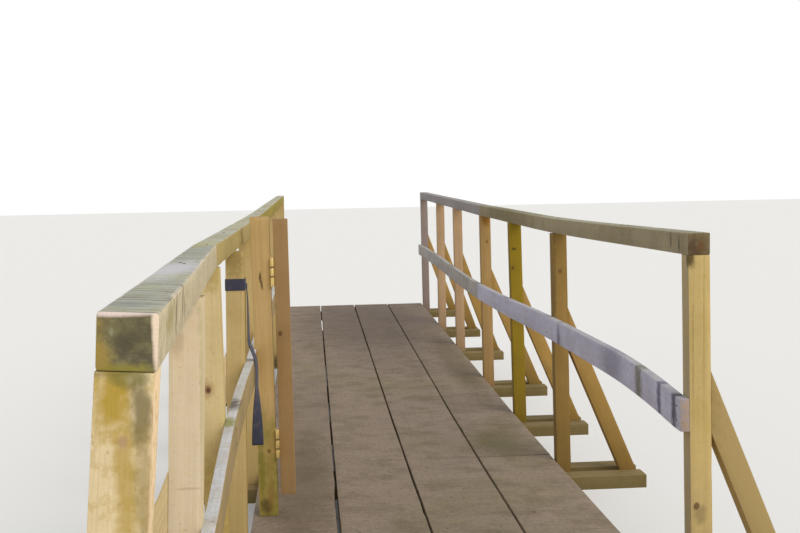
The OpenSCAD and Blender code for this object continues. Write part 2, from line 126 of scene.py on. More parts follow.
# %% Helpers for node trees
def add(tree, kind, inputs=(), **settings):
    made = tree.nodes.new(kind)
    for key, value in settings.items():
        setattr(made, key, value)
    for key, value in inputs.items() if isinstance(inputs, dict) else enumerate(inputs):
        if isinstance(value, bpy.types.Node):
            value = (value, 0)
        if isinstance(value, tuple) and isinstance(value[0], bpy.types.Node):
            tree.links.new(value[0].outputs[value[1]], made.inputs[key])
        else:
            made.inputs[key].default_value = value
    return made

def empty_tree(owner):
    owner.use_nodes = True
    owner.node_tree.nodes.clear()
    return owner.node_tree

# %% [markdown]
# The strap is flat webbing of dull blue polyester, woven in fine ribs across its width.
# A wave along the strap draws the ribs and a second one across it draws the warp threads.
# Real ribs are about 1 mm apart, and they are drawn 2 mm apart so that they show.

# %% Webbing: woven polyester
webbing = bpy.data.materials.new("woven_polyester_webbing")
weave = empty_tree(webbing)
flat = (add(weave, "ShaderNodeAttribute", attribute_name="strap"), "Vector")
one_wave = 0.3142    # metres from one band of a wave texture to the next, at a scale of 1
rib_spacing = 2 * mm
wave = {"Vector": flat, "Scale": one_wave / rib_spacing}
ribs, warp = (add(weave, "ShaderNodeTexWave", wave | {"Distortion": bend}, bands_direction=axis)
              for axis, bend in (("X", 0.6), ("Y", 0.3)))
where = (add(weave, "ShaderNodeTexCoord"), "Object")
dust = add(weave, "ShaderNodeTexNoise", {"Vector": where, "Scale": 40, "Detail": 5})
threads = add(weave, "ShaderNodeMath", [ribs, warp], operation="ADD")
thread_share = add(weave, "ShaderNodeMapRange", [threads, 0.0, 2.0, 0.0, 0.5])
dusty = add(weave, "ShaderNodeMapRange", [dust, 0.5, 0.75, 0.0, 0.4])
cloth = linear("#2f2f3d")
for share, over in ((thread_share, "#585a70"), (dusty, "#6c6460")):
    cloth = (add(weave, "ShaderNodeMix", {0: share, 6: cloth, 7: linear(over)}, data_type="RGBA"), 2)
rib_relief = add(weave, "ShaderNodeBump", {"Height": threads, "Distance": 0.3 * mm, "Strength": 0.6})
skin = add(weave, "ShaderNodeBsdfPrincipled", {
    "Base Color": cloth, "Normal": rib_relief, "Roughness": 0.82, "Sheen Weight": 0.2,
    "Specular IOR Level": 0.25})
add(weave, "ShaderNodeOutputMaterial", [skin])
print("webbing nodes:", len(weave.nodes))

# %% [markdown]
# The strap's loose end hangs from the band over the midrail's edge, and turns as it falls.
# It is a flat cord, so it is swept as one strip: rows of points round a flat oval section,
# each set square to the path and turned by its own angle. The route is the CAD model's.
# A smooth curve is put through it, because webbing bends without corners.

# %% Sweep a flat strip
def oval(width, thick, sides=16):
    ring = []
    for i in range(sides):
        a = 2 * math.pi * i / sides
        c, s = math.cos(a), math.sin(a)
        u, v = math.copysign(abs(c) ** 0.35, c), math.copysign(abs(s) ** 0.6, s)
        ring.append((u * width / 2, v * thick / 2))
    return ring

def sweep(name, centres, wides, flats, section, closed=False):
    """Rows of the section, with its width along wides and its thickness along flats."""
    points, strap, faces = [], [], []
    travelled = 0.0
    for row, (centre, wide, level) in enumerate(zip(centres, wides, flats)):
        travelled += (centre - centres[row - 1]).length if row else 0.0
        for u, v in section:
            points.append(centre + wide * u + level * v)
            strap.append((travelled, u, v))
    n, rows = len(section), len(centres)
    for row in range(rows if closed else rows - 1):
        a, b = row * n, (row + 1) % rows * n
        faces += [(a + i, a + (i + 1) % n, b + (i + 1) % n, b + i) for i in range(n)]
    if not closed:
        faces += [tuple(range(n))[::-1], tuple(range((rows - 1) * n, rows * n))]
    mesh = bpy.data.meshes.new(name)
    mesh.from_pydata([p[:] for p in points], [], faces)
    mesh.attributes.new("strap", "FLOAT_VECTOR", "POINT").data.foreach_set("vector", np.ravel(strap))
    shell = bmesh.new()
    shell.from_mesh(mesh)
    bmesh.ops.recalc_face_normals(shell, faces=shell.faces)
    shell.to_mesh(mesh)
    shell.free()
    mesh.shade_smooth()
    return put(name, mesh)

# %% Strap tail
strap_w, strap_t = 38 * mm, 2.6 * mm
frame_y = [-4.760, -3.817, -2.848, -2.142, -1.098, -0.065, 0.965, 2.303, 3.444, 4.760]
post_4_y = frame_y[3]
band_foot_x, band_head_x, band_foot = -628.271 * mm, -627.58 * mm, 1284.8 * mm
tail_route = [  # CAD face of the strip: x, z and turn in degrees
    (-594.926, 1303.8, 0), (-595.271, 1284.8, 0), (-593.271, 1249.85, 1.8), (-593.271, 1110.05, 9),
    (-572.188, 1053.8, 12), (-570.774, 1030.8, 12), (-570.188, 1007.8, 12), (-570.774, 984.8, 12),
    (-572.188, 961.8, 12), (-572.188, 937.8, 21.125), (-572.188, 889.8, 39.375),
    (-572.188, 841.8, 57.625), (-572.188, 793.8, 75.875), (-572.188, 769.8, 85)]
levels = [-z for x, z, turn in tail_route]
rows = np.linspace(levels[0], levels[-1], 72)
window = 24 * np.linspace(-0.5, 0.5, 9)

def smoothed(i):
    values = [r[i] for r in tail_route]
    return np.mean([np.interp(rows + shift, levels, values) for shift in window], axis=0)

centres, wides, flats = [], [], []
for x, level, turn in zip(smoothed(0), rows, smoothed(2)):
    a = math.radians(turn)
    flats.append(Vector((math.cos(a), -math.sin(a), 0)))
    wides.append(Vector((math.sin(a), math.cos(a), 0)))
    centres.append(Vector((x * mm, post_4_y + strap_w / 2, -level * mm)) + flats[-1] * 1.5 * mm)
tail = sweep("strap_tail_webbing", centres, wides, flats, oval(strap_w, strap_t))
tail.data.materials.append(webbing)
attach(tail, "bridge")
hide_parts("strap_tail")

# %% [markdown]
# The band is the same webbing drawn tight round the fourth left post. Tight webbing lies
# flat on each face and rolls round each arris, so its path is a square with small round
# corners, leaned with the post.

# %% Strap band
half = 30 * mm + strap_t / 2
corner = 5 * mm
lean = Vector((band_head_x - band_foot_x, 0, strap_w)).normalized()
band_middle = Vector(((band_foot_x + band_head_x) / 2, post_4_y, band_foot + strap_w / 2))
centres, flats = [], []
for quarter, (sx, sy) in enumerate(((1, 1), (-1, 1), (-1, -1), (1, -1))):
    for step in range(7):
        a = math.radians(quarter * 90 + step * 15)
        flats.append(Vector((math.cos(a), math.sin(a), 0)))
        centres.append(band_middle + Vector((
            sx * (half - corner) + corner * math.cos(a), sy * (half - corner) + corner * math.sin(a), 0)))
section = oval(strap_w, strap_t)
band = sweep("strap_band_webbing", centres, [lean] * len(centres), flats, section, closed=True)
band.data.materials.append(webbing)
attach(band, "bridge")
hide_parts("strap_band")
print("band has", len(band.data.polygons), "faces")

# %% [markdown]
# The stage is a plain pale floor under a plain pale sky. The sky lights the bridge from
# all round and is shown to the camera as white. One broad lamp stands for the open sky to
# the right of the path, so faces turned to the right are a little brighter.

# %% Stage and light
world = bpy.data.worlds.new("sky")
bpy.context.scene.world = world
sky = empty_tree(world)
rays = add(sky, "ShaderNodeLightPath")
seen = add(sky, "ShaderNodeMath", [(rays, "Is Camera Ray"), (rays, "Is Glossy Ray")], operation="MAXIMUM")
shown = add(sky, "ShaderNodeMath", [seen, (rays, "Is Transmission Ray")], operation="MAXIMUM")
fill_light = add(sky, "ShaderNodeBackground", {"Color": linear("#f4f6fa"), "Strength": 0.72})
white_sky = add(sky, "ShaderNodeBackground", {"Color": (1, 1, 1, 1), "Strength": 1.0})
either = add(sky, "ShaderNodeMixShader", [shown, fill_light, white_sky])
add(sky, "ShaderNodeOutputWorld", [either])

lamp = put("broad_lamp", bpy.data.lights.new("broad_lamp", "SUN"))
lamp.data.energy = 1.35
lamp.data.angle = math.radians(40)
lamp.data.color = linear("#fff6e6")[:3]
lamp.rotation_euler = Vector((-0.62, 0.6, -0.75)).to_track_quat("-Z", "Y").to_euler()

floor_mesh = bpy.data.meshes.new("floor")
reach = 60
floor_corners = [(-reach, -reach, 0), (reach, -reach, 0), (reach, reach, 0), (-reach, reach, 0)]
floor_mesh.from_pydata(floor_corners, [], [(0, 1, 2, 3)])
floor = put("floor", floor_mesh)
paper = bpy.data.materials.new("pale_matt_floor")
paper.use_nodes = True
for socket, value in (("Base Color", linear("#f2f2f0")), ("Roughness", 0.9), ("Specular IOR Level", 0.1)):
    paper.node_tree.nodes["Principled BSDF"].inputs[socket].default_value = value
floor_mesh.materials.append(paper)
bpy.context.scene.view_settings.view_transform = "Standard"
print("sky and one lamp of", round(lamp.data.energy, 2))

# %% [markdown]
# Wood is a bundle of fibres laid down in yearly rings round a pith. A sawn timber is a
# straight cut through that bundle, so its faces show long lines and its ends show arcs.
# Every timber carries an attribute named grain, its own coordinates with the first one
# along its length, and the rings are cylinders round that line. All the timbers share one
# node group, and what differs between them are the group's inputs. The steps inside the
# group are kept by name, so that later ones can be written as rows of a table.

# %% Wood: the inputs of the shared group
wood = bpy.data.node_groups.new("sawn_and_weathered_pine", "ShaderNodeTree")
wood_colours = {
    # Faces towards the walkway take a colour of painted side light: lighter than the body on lit sides and
    # darker on shaded ones.
    "Pale": "#d2bc8c", "Dark": "#b0935c", "Blotch": "#a08c50", "Inner": "#d2bc8c", "Top": "#a3a293",
    # The arris colour is wear and painted highlight together.
    "Moss": "#6e7040", "Foot": "#6f6a30", "End": "#8b7a55", "Edge": "#d8c39a"}
wood_amounts = {
    "Blotch Amount": 0.4, "Inner Amount": 0.7, "Inner Side": 1.0, "Top Amount": 0.9, "Moss Amount": 0.0,
    "Foot Amount": 0.0, "Foot Level": 0.45, "Foot Height": 0.3, "End Amount": 0.8, "Edge Amount": 0.25,
    "Ring Spacing": 4.5 * mm, "Ring Contrast": 0.3, "Grain Contrast": 0.8, "Mottle Amount": 0.25,
    "Saw Marks": 0.0, "Checks": 0.1, "Speckle": 0.25, "Roughness": 0.72}
for name, value in (wood_colours | wood_amounts).items():
    kind, value = ("Color", linear(value)) if name in wood_colours else ("Float", value)
    socket = wood.interface.new_socket(name=name, in_out="INPUT", socket_type="NodeSocket" + kind)
    socket.default_value = value
for name, kind in (("Color", "Color"), ("Roughness", "Float"), ("Normal", "Vector")):
    wood.interface.new_socket(name=name, in_out="OUTPUT", socket_type="NodeSocket" + kind)
given = add(wood, "NodeGroupInput")
place = (add(wood, "ShaderNodeTexCoord"), "Object")
grain = (add(wood, "ShaderNodeAttribute", attribute_name="grain"), "Vector")
facing = add(wood, "ShaderNodeSeparateXYZ", [(add(wood, "ShaderNodeNewGeometry"), "Normal")])
height = add(wood, "ShaderNodeSeparateXYZ", [place])
steps = {name: (given, name) for name in wood_colours | wood_amounts}
steps |= {"facing_x": (facing, "X"), "facing_z": (facing, "Z"), "height": (height, "Z")}
for name in ("tone", "end", "arris"):
    steps[name] = (add(wood, "ShaderNodeAttribute", attribute_name=name), "Fac")

def known(value):
    """A step by its name, a colour by its code, and a number as it is."""
    if isinstance(value, str):
        return linear(value) if value.startswith("#") else steps[value]
    return value

print("wood takes", len(wood_colours), "colours and", len(wood_amounts), "amounts")

# %% [markdown]
# Most of what weather does to wood is noise stretched along the grain: slow wander of the
# rings, fine fibres, broader streaks, drying checks. Saw marks are the same noise stretched
# the other way, because a blade crosses the board. Each row gives the noise's frequency
# along and across the grain, in cycles to the metre, and its detail.

# %% Wood: stretched noises
stretches = {
    "wander": (1.1, 7.0, 2.0), "fibres": (5.0, 240.0, 3.0), "streaks": (1.4, 42.0, 2.0),
    "split": (2.2, 44.0, 1.5), "split_place": (2.6, 9.0, 1.0), "sawn": (62.0, 1.3, 2.0),
    "fine_sawn": (170.0, 3.0, 1.0)}
even = {"blotches": (6.5, 5.0), "patches": (1.7, 3.0), "specks": (150.0, 1.0), "mottle": (62.0, 5.0)}
for name, (along, across, detail) in stretches.items():
    stretched = add(wood, "ShaderNodeVectorMath", [grain, (along, across, across)], operation="MULTIPLY")
    steps[name] = add(wood, "ShaderNodeTexNoise", {
        "Vector": stretched, "Scale": 1.0, "Detail": detail, "Roughness": 0.6})
for name, (scale, detail) in even.items():
    steps[name] = add(wood, "ShaderNodeTexNoise", {
        "Vector": place, "Scale": scale, "Detail": detail, "Roughness": 0.62})
print("noises:", ", ".join([*stretches, *even]))

# %% [markdown]
# The rings are pushed aside by the slow wander, since no tree grows dead straight. Knots
# are a Voronoi pattern with cells 130 mm across in which one cell in five holds a knot, and
# the rings swell round each knot.

# %% Wood: rings and knots
half_grey, sway = (0.5, 0.5, 0.5), (0.0, 0.022, 0.022)
centred = add(wood, "ShaderNodeVectorMath", [(steps["wander"], "Color"), half_grey], operation="SUBTRACT")
pushed = add(wood, "ShaderNodeVectorMath", [centred, sway], operation="MULTIPLY")
bent = add(wood, "ShaderNodeVectorMath", [grain, pushed], operation="ADD")
squeezed = add(wood, "ShaderNodeVectorMath", [grain, (0.8, 1.0, 1.0)], operation="MULTIPLY")
cells = add(wood, "ShaderNodeTexVoronoi", {"Vector": squeezed, "Scale": 7.5})
cell_number = add(wood, "ShaderNodeSeparateColor", [(cells, "Color")])
has_knot = add(wood, "ShaderNodeMath", [cell_number, 0.8], operation="GREATER_THAN")
for name, outer, inner in (("knot", 0.07, 0.042), ("halo", 0.34, 0.0)):
    disc = add(wood, "ShaderNodeMapRange", [cells, outer, inner], interpolation_type="SMOOTHSTEP")
    steps[name] = add(wood, "ShaderNodeMath", [disc, has_knot], operation="MULTIPLY")
swell = add(wood, "ShaderNodeMath", [steps["halo"], 0.02], operation="MULTIPLY")
swollen = add(wood, "ShaderNodeVectorMath", [bent, swell], operation="ADD")
ring_scale = add(wood, "ShaderNodeMath", [one_wave, (given, "Ring Spacing")], operation="DIVIDE")
rings = add(wood, "ShaderNodeTexWave", {
    "Vector": swollen, "Scale": ring_scale, "Distortion": 0.6, "Detail": 2.0, "Detail Scale": 0.6},
    wave_type="RINGS", rings_direction="X", wave_profile="SAW")
steps["late_wood"] = add(wood, "ShaderNodeMath", [(rings, "Fac"), 2.2], operation="POWER")
print("rings and knots drawn")

# %% [markdown]
# Masks say where each finish lies. Faces turned to the sky, or inwards to the walkway, are
# known by their normal, feet by their height, and checks lie where one noise crosses its
# middle value, which draws thin wandering lines. The walkway faces take a painted side light:
# a colour lighter than the body on sides the light would reach and darker on shaded sides.
# Saw marks last on top, where nothing drips along them. The upper and walkway-side arrises
# are paled, partly as wear from hands and boots and partly as a painted highlight where light
# would catch them. A row has the step's name, what is done, and its inputs. A range from one
# limit to another comes first, and the amounts that multiply it come after.

# %% Wood: masks
mask_rows = [
    ("rubbed", "LINEAR", "facing_z", 0.3, 0.8, 0.18, 1.0),
    ("upper", "SMOOTHSTEP", "facing_z", 0.55, 0.85), ("sky_mask", "MULTIPLY", "upper", "Top Amount"),
    ("blot", "SMOOTHSTEP", "blotches", 0.42, 0.68), ("blotch_mask", "MULTIPLY", "blot", "Blotch Amount"),
    ("speck", "SMOOTHSTEP", "specks", 0.66, 0.76), ("speck_mask", "MULTIPLY", "speck", "Speckle"),
    ("saw", "SMOOTHSTEP", "sawn", 0.47, 0.395), ("saw_mask", "MULTIPLY", "saw", "rubbed", "Saw Marks"),
    ("fine", "SMOOTHSTEP", "fine_sawn", 0.47, 0.39),
    ("fine_saw_mask", "MULTIPLY", "fine", "rubbed", "Saw Marks"),
    ("green", "SMOOTHSTEP", "patches", 0.5, 0.66), ("moss_mask", "MULTIPLY", "green", "Moss Amount"),
    ("small_blot", "SMOOTHSTEP", "mottle", 0.47, 0.6),
    ("mottle_mask", "MULTIPLY", "small_blot", "Mottle Amount"),
    # Painted side light and shade on the walkway faces.
    ("inwards", "MULTIPLY", "facing_x", "Inner Side"), ("inner", "SMOOTHSTEP", "inwards", 0.6, 0.85),
    ("side_lighting_mask", "MULTIPLY", "inner", "Inner Amount"),
    ("off_middle", "SUBTRACT", "split", 0.5), ("from_line", "ABSOLUTE", "off_middle"),
    ("line", "SMOOTHSTEP", "from_line", 0.009, 0.002), ("line_place", "SMOOTHSTEP", "split_place", 0.53, 0.64),
    ("on_side", "SUBTRACT", 1.0, "end"), ("check_mask", "MULTIPLY", "line", "line_place", "on_side", "Checks"),
    ("over_foot", "SUBTRACT", "height", "Foot Level"), ("foot_share", "DIVIDE", "over_foot", "Foot Height"),
    ("ragged", "LINEAR", "blotches", 0.0, 1.0, -0.8, 0.8), ("ragged_foot", "ADD", "foot_share", "ragged"),
    ("foot", "SMOOTHSTEP", "ragged_foot", 1.0, 0.1), ("foot_mask", "MULTIPLY", "foot", "Foot Amount"),
    ("end_mask", "MULTIPLY", "end", "End Amount"),
    ("worn", "SMOOTHSTEP", "mottle", 0.35, 0.55), ("touched", "MAXIMUM", "facing_z", "inwards"),
    ("hands", "LINEAR", "touched", 0.3, 0.5), ("lasting", "LINEAR", "blotches", 0.5, 0.62, 0.15, 1.0),
    # Paled arrises: wear from hands and boots, and painted highlight where light would catch them.
    ("arris_wear_and_highlight_mask", "MULTIPLY", "worn", "lasting", "hands", "arris", "Edge Amount")]
print("masks:", ", ".join(row[0] for row in mask_rows if row[0].endswith("_mask")))

# %% [markdown]
# The tint is one grey that multiplies the body: streaks, fibres, broad patches, mottle and
# the timber's own tone, each added to the sum before it. One loop turns the rows of both
# tables into nodes.

# %% Wood: tint and shares
tint_rows = [
    ("streaky", "MULTIPLY_ADD", "streaks", 0.34, -0.31), ("fibrous", "MULTIPLY_ADD", "fibres", 0.28, "streaky"),
    ("grained", "MULTIPLY_ADD", "fibrous", "Grain Contrast", 0.705),
    ("patchy", "MULTIPLY_ADD", "patches", 0.36, "grained"),
    ("mottled", "MULTIPLY_ADD", "mottle", 0.2, "patchy"),
    ("grey", "MULTIPLY_ADD", "tone", 0.12, "mottled"),
    ("ring_share", "MULTIPLY", "late_wood", "Ring Contrast"), ("faint_rings", "MULTIPLY", "ring_share", 0.6),
    ("knot_share", "MULTIPLY", "knot", 0.75), ("halo_share", "MULTIPLY", "halo", 0.22),
    ("saw_share", "MULTIPLY", "saw_mask", 0.85), ("fine_saw_share", "MULTIPLY", "fine_saw_mask", 0.4),
    ("end_mottle", "LINEAR", "mottle", 0.4, 0.62, 0.0, 0.55)]
for name, how, *inputs in mask_rows + tint_rows:
    values = [known(value) for value in inputs]
    if how in ("LINEAR", "SMOOTHSTEP"):
        steps[name] = add(wood, "ShaderNodeMapRange", values, interpolation_type=how)
        continue
    while how == "MULTIPLY" and len(values) > 2:
        values[:2] = [add(wood, "ShaderNodeMath", values[:2], operation=how)]
    steps[name] = add(wood, "ShaderNodeMath", values, operation=how)
steps["tint"] = add(wood, "ShaderNodeCombineColor", [steps["grey"]] * 3)
print("steps by name:", len(steps))

# %% [markdown]
# The layers are laid on from the wood itself to what lies on it: rings, the painted side light
# and shade of the walkway faces, feet, weathered tops, end grain, blotches, the tint, knots,
# saw marks, dirt and drying checks, and last the arrises, paled by wear and by painted
# highlight. The tops and the ends have small mixes of their own first.

# %% Wood: layers of colour
for name, share, under, over in (
        ("ringed_top", "faint_rings", "Top", "#3a372e"), ("mossy_top", "moss_mask", "ringed_top", "Moss"),
        ("ringed_end", "faint_rings", "End", "#3a3424"), ("mottled_end", "end_mottle", "ringed_end", "Blotch")):
    mixed = add(wood, "ShaderNodeMix", {0: known(share), 6: known(under), 7: known(over)}, data_type="RGBA")
    steps[name] = (mixed, 2)
layers = [
    # The second layer is the painted side light and shade of the walkway faces.
    ("ring_share", "Dark"), ("side_lighting_mask", "Inner"), ("foot_mask", "Foot"), ("sky_mask", "mossy_top"),
    ("end_mask", "mottled_end"), ("blotch_mask", "Blotch"), ("mottle_mask", "Blotch"), (1.0, "tint"),
    ("halo_share", "Dark"), ("knot_share", "#5d3d22"), ("saw_share", "#575748"), ("fine_saw_share", "#68644e"),
    ("speck_mask", "#4f4632"), ("check_mask", "#33291c"), ("arris_wear_and_highlight_mask", "Edge")]
colour = steps["Pale"]
for share, over in layers:
    blend = "MULTIPLY" if over == "tint" else "MIX"
    mixed = {0: known(share), 6: colour, 7: known(over)}
    laid = add(wood, "ShaderNodeMix", mixed, data_type="RGBA", blend_type=blend)
    colour = (laid, 2)
print("layers of colour:", len(layers))

# %% [markdown]
# The relief is under a millimetre. Late wood and fibres stand a little proud where the soft
# early wood has worn away, and saw marks and checks are narrow grooves.

# %% Wood: relief and output
relief = add(wood, "ShaderNodeMath", [steps["late_wood"], 0.35], operation="MULTIPLY")
reliefs = {"fibres": 0.9, "specks": 0.35, "check_mask": -2.2, "saw_mask": -0.6, "fine_saw_mask": -0.3}
for name, strength in reliefs.items():
    relief = add(wood, "ShaderNodeMath", [steps[name], strength, relief], operation="MULTIPLY_ADD")
bump = add(wood, "ShaderNodeBump", {"Height": relief, "Distance": 0.7 * mm, "Strength": 0.9})
shine = add(wood, "ShaderNodeMath", [steps["fibres"], 0.2, steps["Roughness"]], operation="MULTIPLY_ADD")
add(wood, "NodeGroupOutput", {"Color": colour, "Roughness": shine, "Normal": bump})
print("wood group has", len(wood.nodes), "nodes")

# %% [markdown]
# Each finish is the wood group with its own colours and amounts: its pale, dark and blotch
# colours, then whatever differs from the group's own values. A mark is a stain, a knot or a
# painted highlight that stands in one place only: its centre and its half sizes in
# millimetres, its colour and its strength. It is drawn with the distance to its centre,
# broken up by a noise. A stain fades slowly from its middle, and a knot or a highlight strip
# has a crisp rim.

# %% A finish and its marks
faded = 1.45    # half sizes from a mark's centre to where it has gone
finishes = {}

def wood_finish(name, pale, dark, blotch, stains=(), knots=(), **others):
    material = bpy.data.materials.new(name)
    tree = empty_tree(material)
    group = add(tree, "ShaderNodeGroup", node_tree=wood)
    for key, value in (dict(Pale=pale, Dark=dark, Blotch=blotch) | others).items():
        socket = group.inputs[key.replace("_", " ")]
        socket.default_value = linear(value) if isinstance(value, str) else value
    where = (add(tree, "ShaderNodeTexCoord"), "Object")
    rough = add(tree, "ShaderNodeTexNoise", {"Vector": where, "Scale": 60, "Detail": 3})
    stained = (group, "Color")
    for rim, fray, mark in [(0.75, 0.9, m) for m in stains] + [(0.95, 0.35, m) for m in knots]:
        *lengths, code, strength = mark
        lengths = [length * mm for length in lengths]
        away = add(tree, "ShaderNodeVectorMath", [where, lengths[:3]], operation="SUBTRACT")
        scaled = add(tree, "ShaderNodeVectorMath", [away, lengths[3:]], operation="DIVIDE")
        far = add(tree, "ShaderNodeVectorMath", [scaled], operation="LENGTH")
        frayed = add(tree, "ShaderNodeMath", [rough, fray, (far, "Value")], operation="MULTIPLY_ADD")
        fade = add(tree, "ShaderNodeMapRange", [frayed, faded, rim, 0.0, strength],
                   interpolation_type="SMOOTHSTEP")
        stained = (add(tree, "ShaderNodeMix", {0: fade, 6: stained, 7: linear(code)}, data_type="RGBA"), 2)
    shader = add(tree, "ShaderNodeBsdfPrincipled", {
        "Base Color": stained, "Roughness": (group, "Roughness"), "Normal": (group, "Normal"),
        "Specular IOR Level": 0.25, "IOR": 1.45})
    add(tree, "ShaderNodeOutputMaterial", [shader])
    finishes[name] = material

# %% [markdown]
# Treated pine starts olive green from its copper salts and bleaches to straw where the sun
# reaches it. The near post still has its green under the dirt that drips from the rail, and
# the second post has bleached to cream.

# %% Finishes: near and left posts
wood_finish("olive_treated_pine", "#e4cfa6", "#c8ae7c", "#bda466",
    # The near post's pale peach colour on its walkway face is painted light.
    Inner="#f6d8ae", Foot="#dcc8a2", End="#6f6749", Edge="#e8d2ae", Blotch_Amount=0.25, Inner_Amount=1.0,
    Foot_Amount=0.3, Foot_Level=0.9, Foot_Height=0.45, Edge_Amount=0.3, Ring_Contrast=0.08, Grain_Contrast=0.35,
    Mottle_Amount=0.5, Checks=0.05,
    stains=[(-584, -4792, 1418, 27, 30, 56, "#b4942a", 0.9), (-574, -4792, 1330, 17, 30, 130, "#b3943c", 0.7),
        (-557, -4792, 1410, 16, 30, 60, "#746842", 0.8), (-556, -4792, 1310, 15, 30, 130, "#8f7b44", 0.6),
        (-566, -4792, 1440, 34, 30, 13, "#76723e", 0.65), (-600, -4792, 1446, 60, 30, 6, "#756a34", 0.5),
        (-576, -4792, 1375, 7, 20, 10, "#b4937c", 0.6)])
wood_finish("cream_treated_pine", "#dccaac", "#c8b088", "#cfb88e",
    Inner="#d8c49a", Foot="#cbb284", Blotch_Amount=0.35, Inner_Amount=0.6, Foot_Amount=0.4, Ring_Contrast=0.22,
    Mottle_Amount=0.35, Checks=0.05, Speckle=0.2,
    stains=[(-612, -3850, 1080, 40, 20, 4, "#a98a64", 0.35), (-583, -3850, 1200, 9, 20, 320, "#b3ae74", 0.5),
        (-612, -3850, 1408, 18, 20, 26, "#8f7b5c", 0.5), (-626, -3850, 1350, 20, 20, 40, "#b49a72", 0.4)])
wood_finish("straw_treated_pine", "#dfc998", "#c2a870", "#c5ac6c",
    # This post's darker foot, below about 0.9 m, is a painted cast shadow.
    Inner="#c8ae6c", Foot="#a2883e", Inner_Amount=0.5, Foot_Amount=0.8, Foot_Level=0.86, Foot_Height=0.16,
    Ring_Contrast=0.25, Checks=0.08,
    stains=[(-661, -2880, 1090, 24, 20, 34, "#b0905e", 0.6), (-640, -2880, 1400, 40, 30, 70, "#b79e54", 0.6)],
    knots=[(-661, -2880, 1090, 9, 20, 11, "#8a6044", 0.75), (-660, -2880, 1089, 5, 20, 6, "#553828", 0.8)])
wood_finish("tan_treated_pine", "#c6ad78", "#a4884e", "#ab9154",
    Inner="#a8914c", Foot="#a89058", Foot_Amount=0.4, Checks=0.2,
    stains=[(-630, -2175, 1400, 44, 30, 110, "#977f48", 0.75)])
print("finishes:", len(finishes))

# %% [markdown]
# The gate post stands in the drip of the rail, so its foot is green with algae and darker
# at the very bottom. The stile is a redder board that keeps off the ground.

# %% Finishes: gate
wood_finish("green_footed_pine", "#c9a974", "#a58650", "#b89a5c",
    Inner="#c9ad80", Foot="#837d2e", Blotch_Amount=0.35, Inner_Amount=0.5, Top_Amount=0.5, Foot_Amount=0.85,
    Foot_Level=0.5, Foot_Height=0.42, Checks=0.08,
    stains=[(-563, -1815, 1296, 6, 20, 26, "#5d4830", 0.9), (-558, -1815, 1270, 6, 20, 22, "#5d4830", 0.85),
        (-562, -1815, 478, 30, 20, 40, "#5b4a2c", 0.8), (-545, -1815, 520, 20, 20, 70, "#94743f", 0.7),
        (-576, -1815, 610, 17, 20, 150, "#757020", 0.6), (-546, -1815, 640, 12, 20, 130, "#a18842", 0.5)],
    knots=[(-549, -1815, 677, 6, 20, 8, "#6a4a30", 0.7)])
wood_finish("orange_brown_pine", "#ad8c60", "#8c6c46", "#9b7b50",
    Inner="#bb9c72", Foot="#95774c", End="#7c6644", Edge="#cfb688", Inner_Amount=0.5, Top_Amount=0.3,
    Foot_Amount=0.3, Foot_Level=0.5, Foot_Height=0.2, Edge_Amount=0.6, Checks=0.05)
print("finishes:", len(finishes))

# %% [markdown]
# The posts across the deck aged one by one: straw, tan, mustard, then rosy brown further
# off, each with the dark stain that its rail drips at its head.

# %% Finishes: right posts and struts
# The right posts' walkway faces are turned from the light, and their darker colours there are painted shade.
right_post = dict(Inner_Side=-1.0, Foot_Amount=0.5, Foot_Level=0.42, Foot_Height=0.45, Checks=0.08)
strut = dict(
    End="#7c6a40", Inner_Amount=0.0, Blotch_Amount=0.35, Top_Amount=0.3, Foot_Amount=0.5, Foot_Level=0.4,
    Foot_Height=0.35)
wood_finish("pale_yellow_pine", "#d2b87c", "#b1955a", "#bba05c",
    Inner="#9c9280", Foot="#ab9466", **right_post,
    stains=[(632, -2880, 1402, 18, 30, 36, "#60502f", 0.95), (658, -2880, 705, 26, 30, 40, "#8c7a56", 0.6),
        (640, -2880, 1150, 4, 30, 260, "#a08a48", 0.5), (670, -2880, 1200, 4, 30, 330, "#a89452", 0.5)],
    knots=[(649, -2880, 727, 8, 20, 10, "#6a4a30", 0.8)])
wood_finish("tan_post_pine", "#a08046", "#785c2c", "#866a36",
    Inner="#806a3e", Foot="#645028", **right_post,
    stains=[(626, -1130, 1150, 9, 30, 280, "#5f4e32", 0.6)],
    knots=[(649, -1130, 1236, 8, 30, 9, "#6a4a30", 0.7)])
wood_finish("mustard_post_pine", "#9c8320", "#705c1a", "#836c1f",
    Inner="#7c6722", Foot="#6b5622", **right_post,
    stains=[(640, -97, 960, 30, 30, 60, "#6a5a2c", 0.6)],
    knots=[(635, -97, 1268, 12, 30, 7, "#54411c", 0.8)])
wood_finish("orange_post_pine", "#b3925e", "#8d6d40", "#9d7c48",
    Inner="#97794c", Foot="#86694a", **right_post,
    stains=[(648, 933, 1378, 34, 30, 60, "#96651c", 0.8)],
    knots=[(652, 933, 1250, 9, 30, 9, "#6e4a28", 0.6)])
wood_finish("rosy_post_pine", "#bf9f7b", "#997a58", "#a78966", Inner="#a88c70", Foot="#86705a", **right_post)
wood_finish("grey_post_pine", "#9c8a82", "#7c6d66", "#887973", Inner="#8b7c77", Foot="#7a6c62", **right_post)
wood_finish("cream_strut_pine", "#dcc69a", "#c0a672", "#c4ab74", Top="#dcc69a", Foot="#b19a66", **strut)
wood_finish("tan_strut_pine", "#b08d50", "#83652c", "#957534",
    Top="#b08d50", Foot="#6e5a28", **strut,
    stains=[(850, -2848, 800, 400, 260, 700, "#b59d69", 0.9)])
print("finishes:", len(finishes))
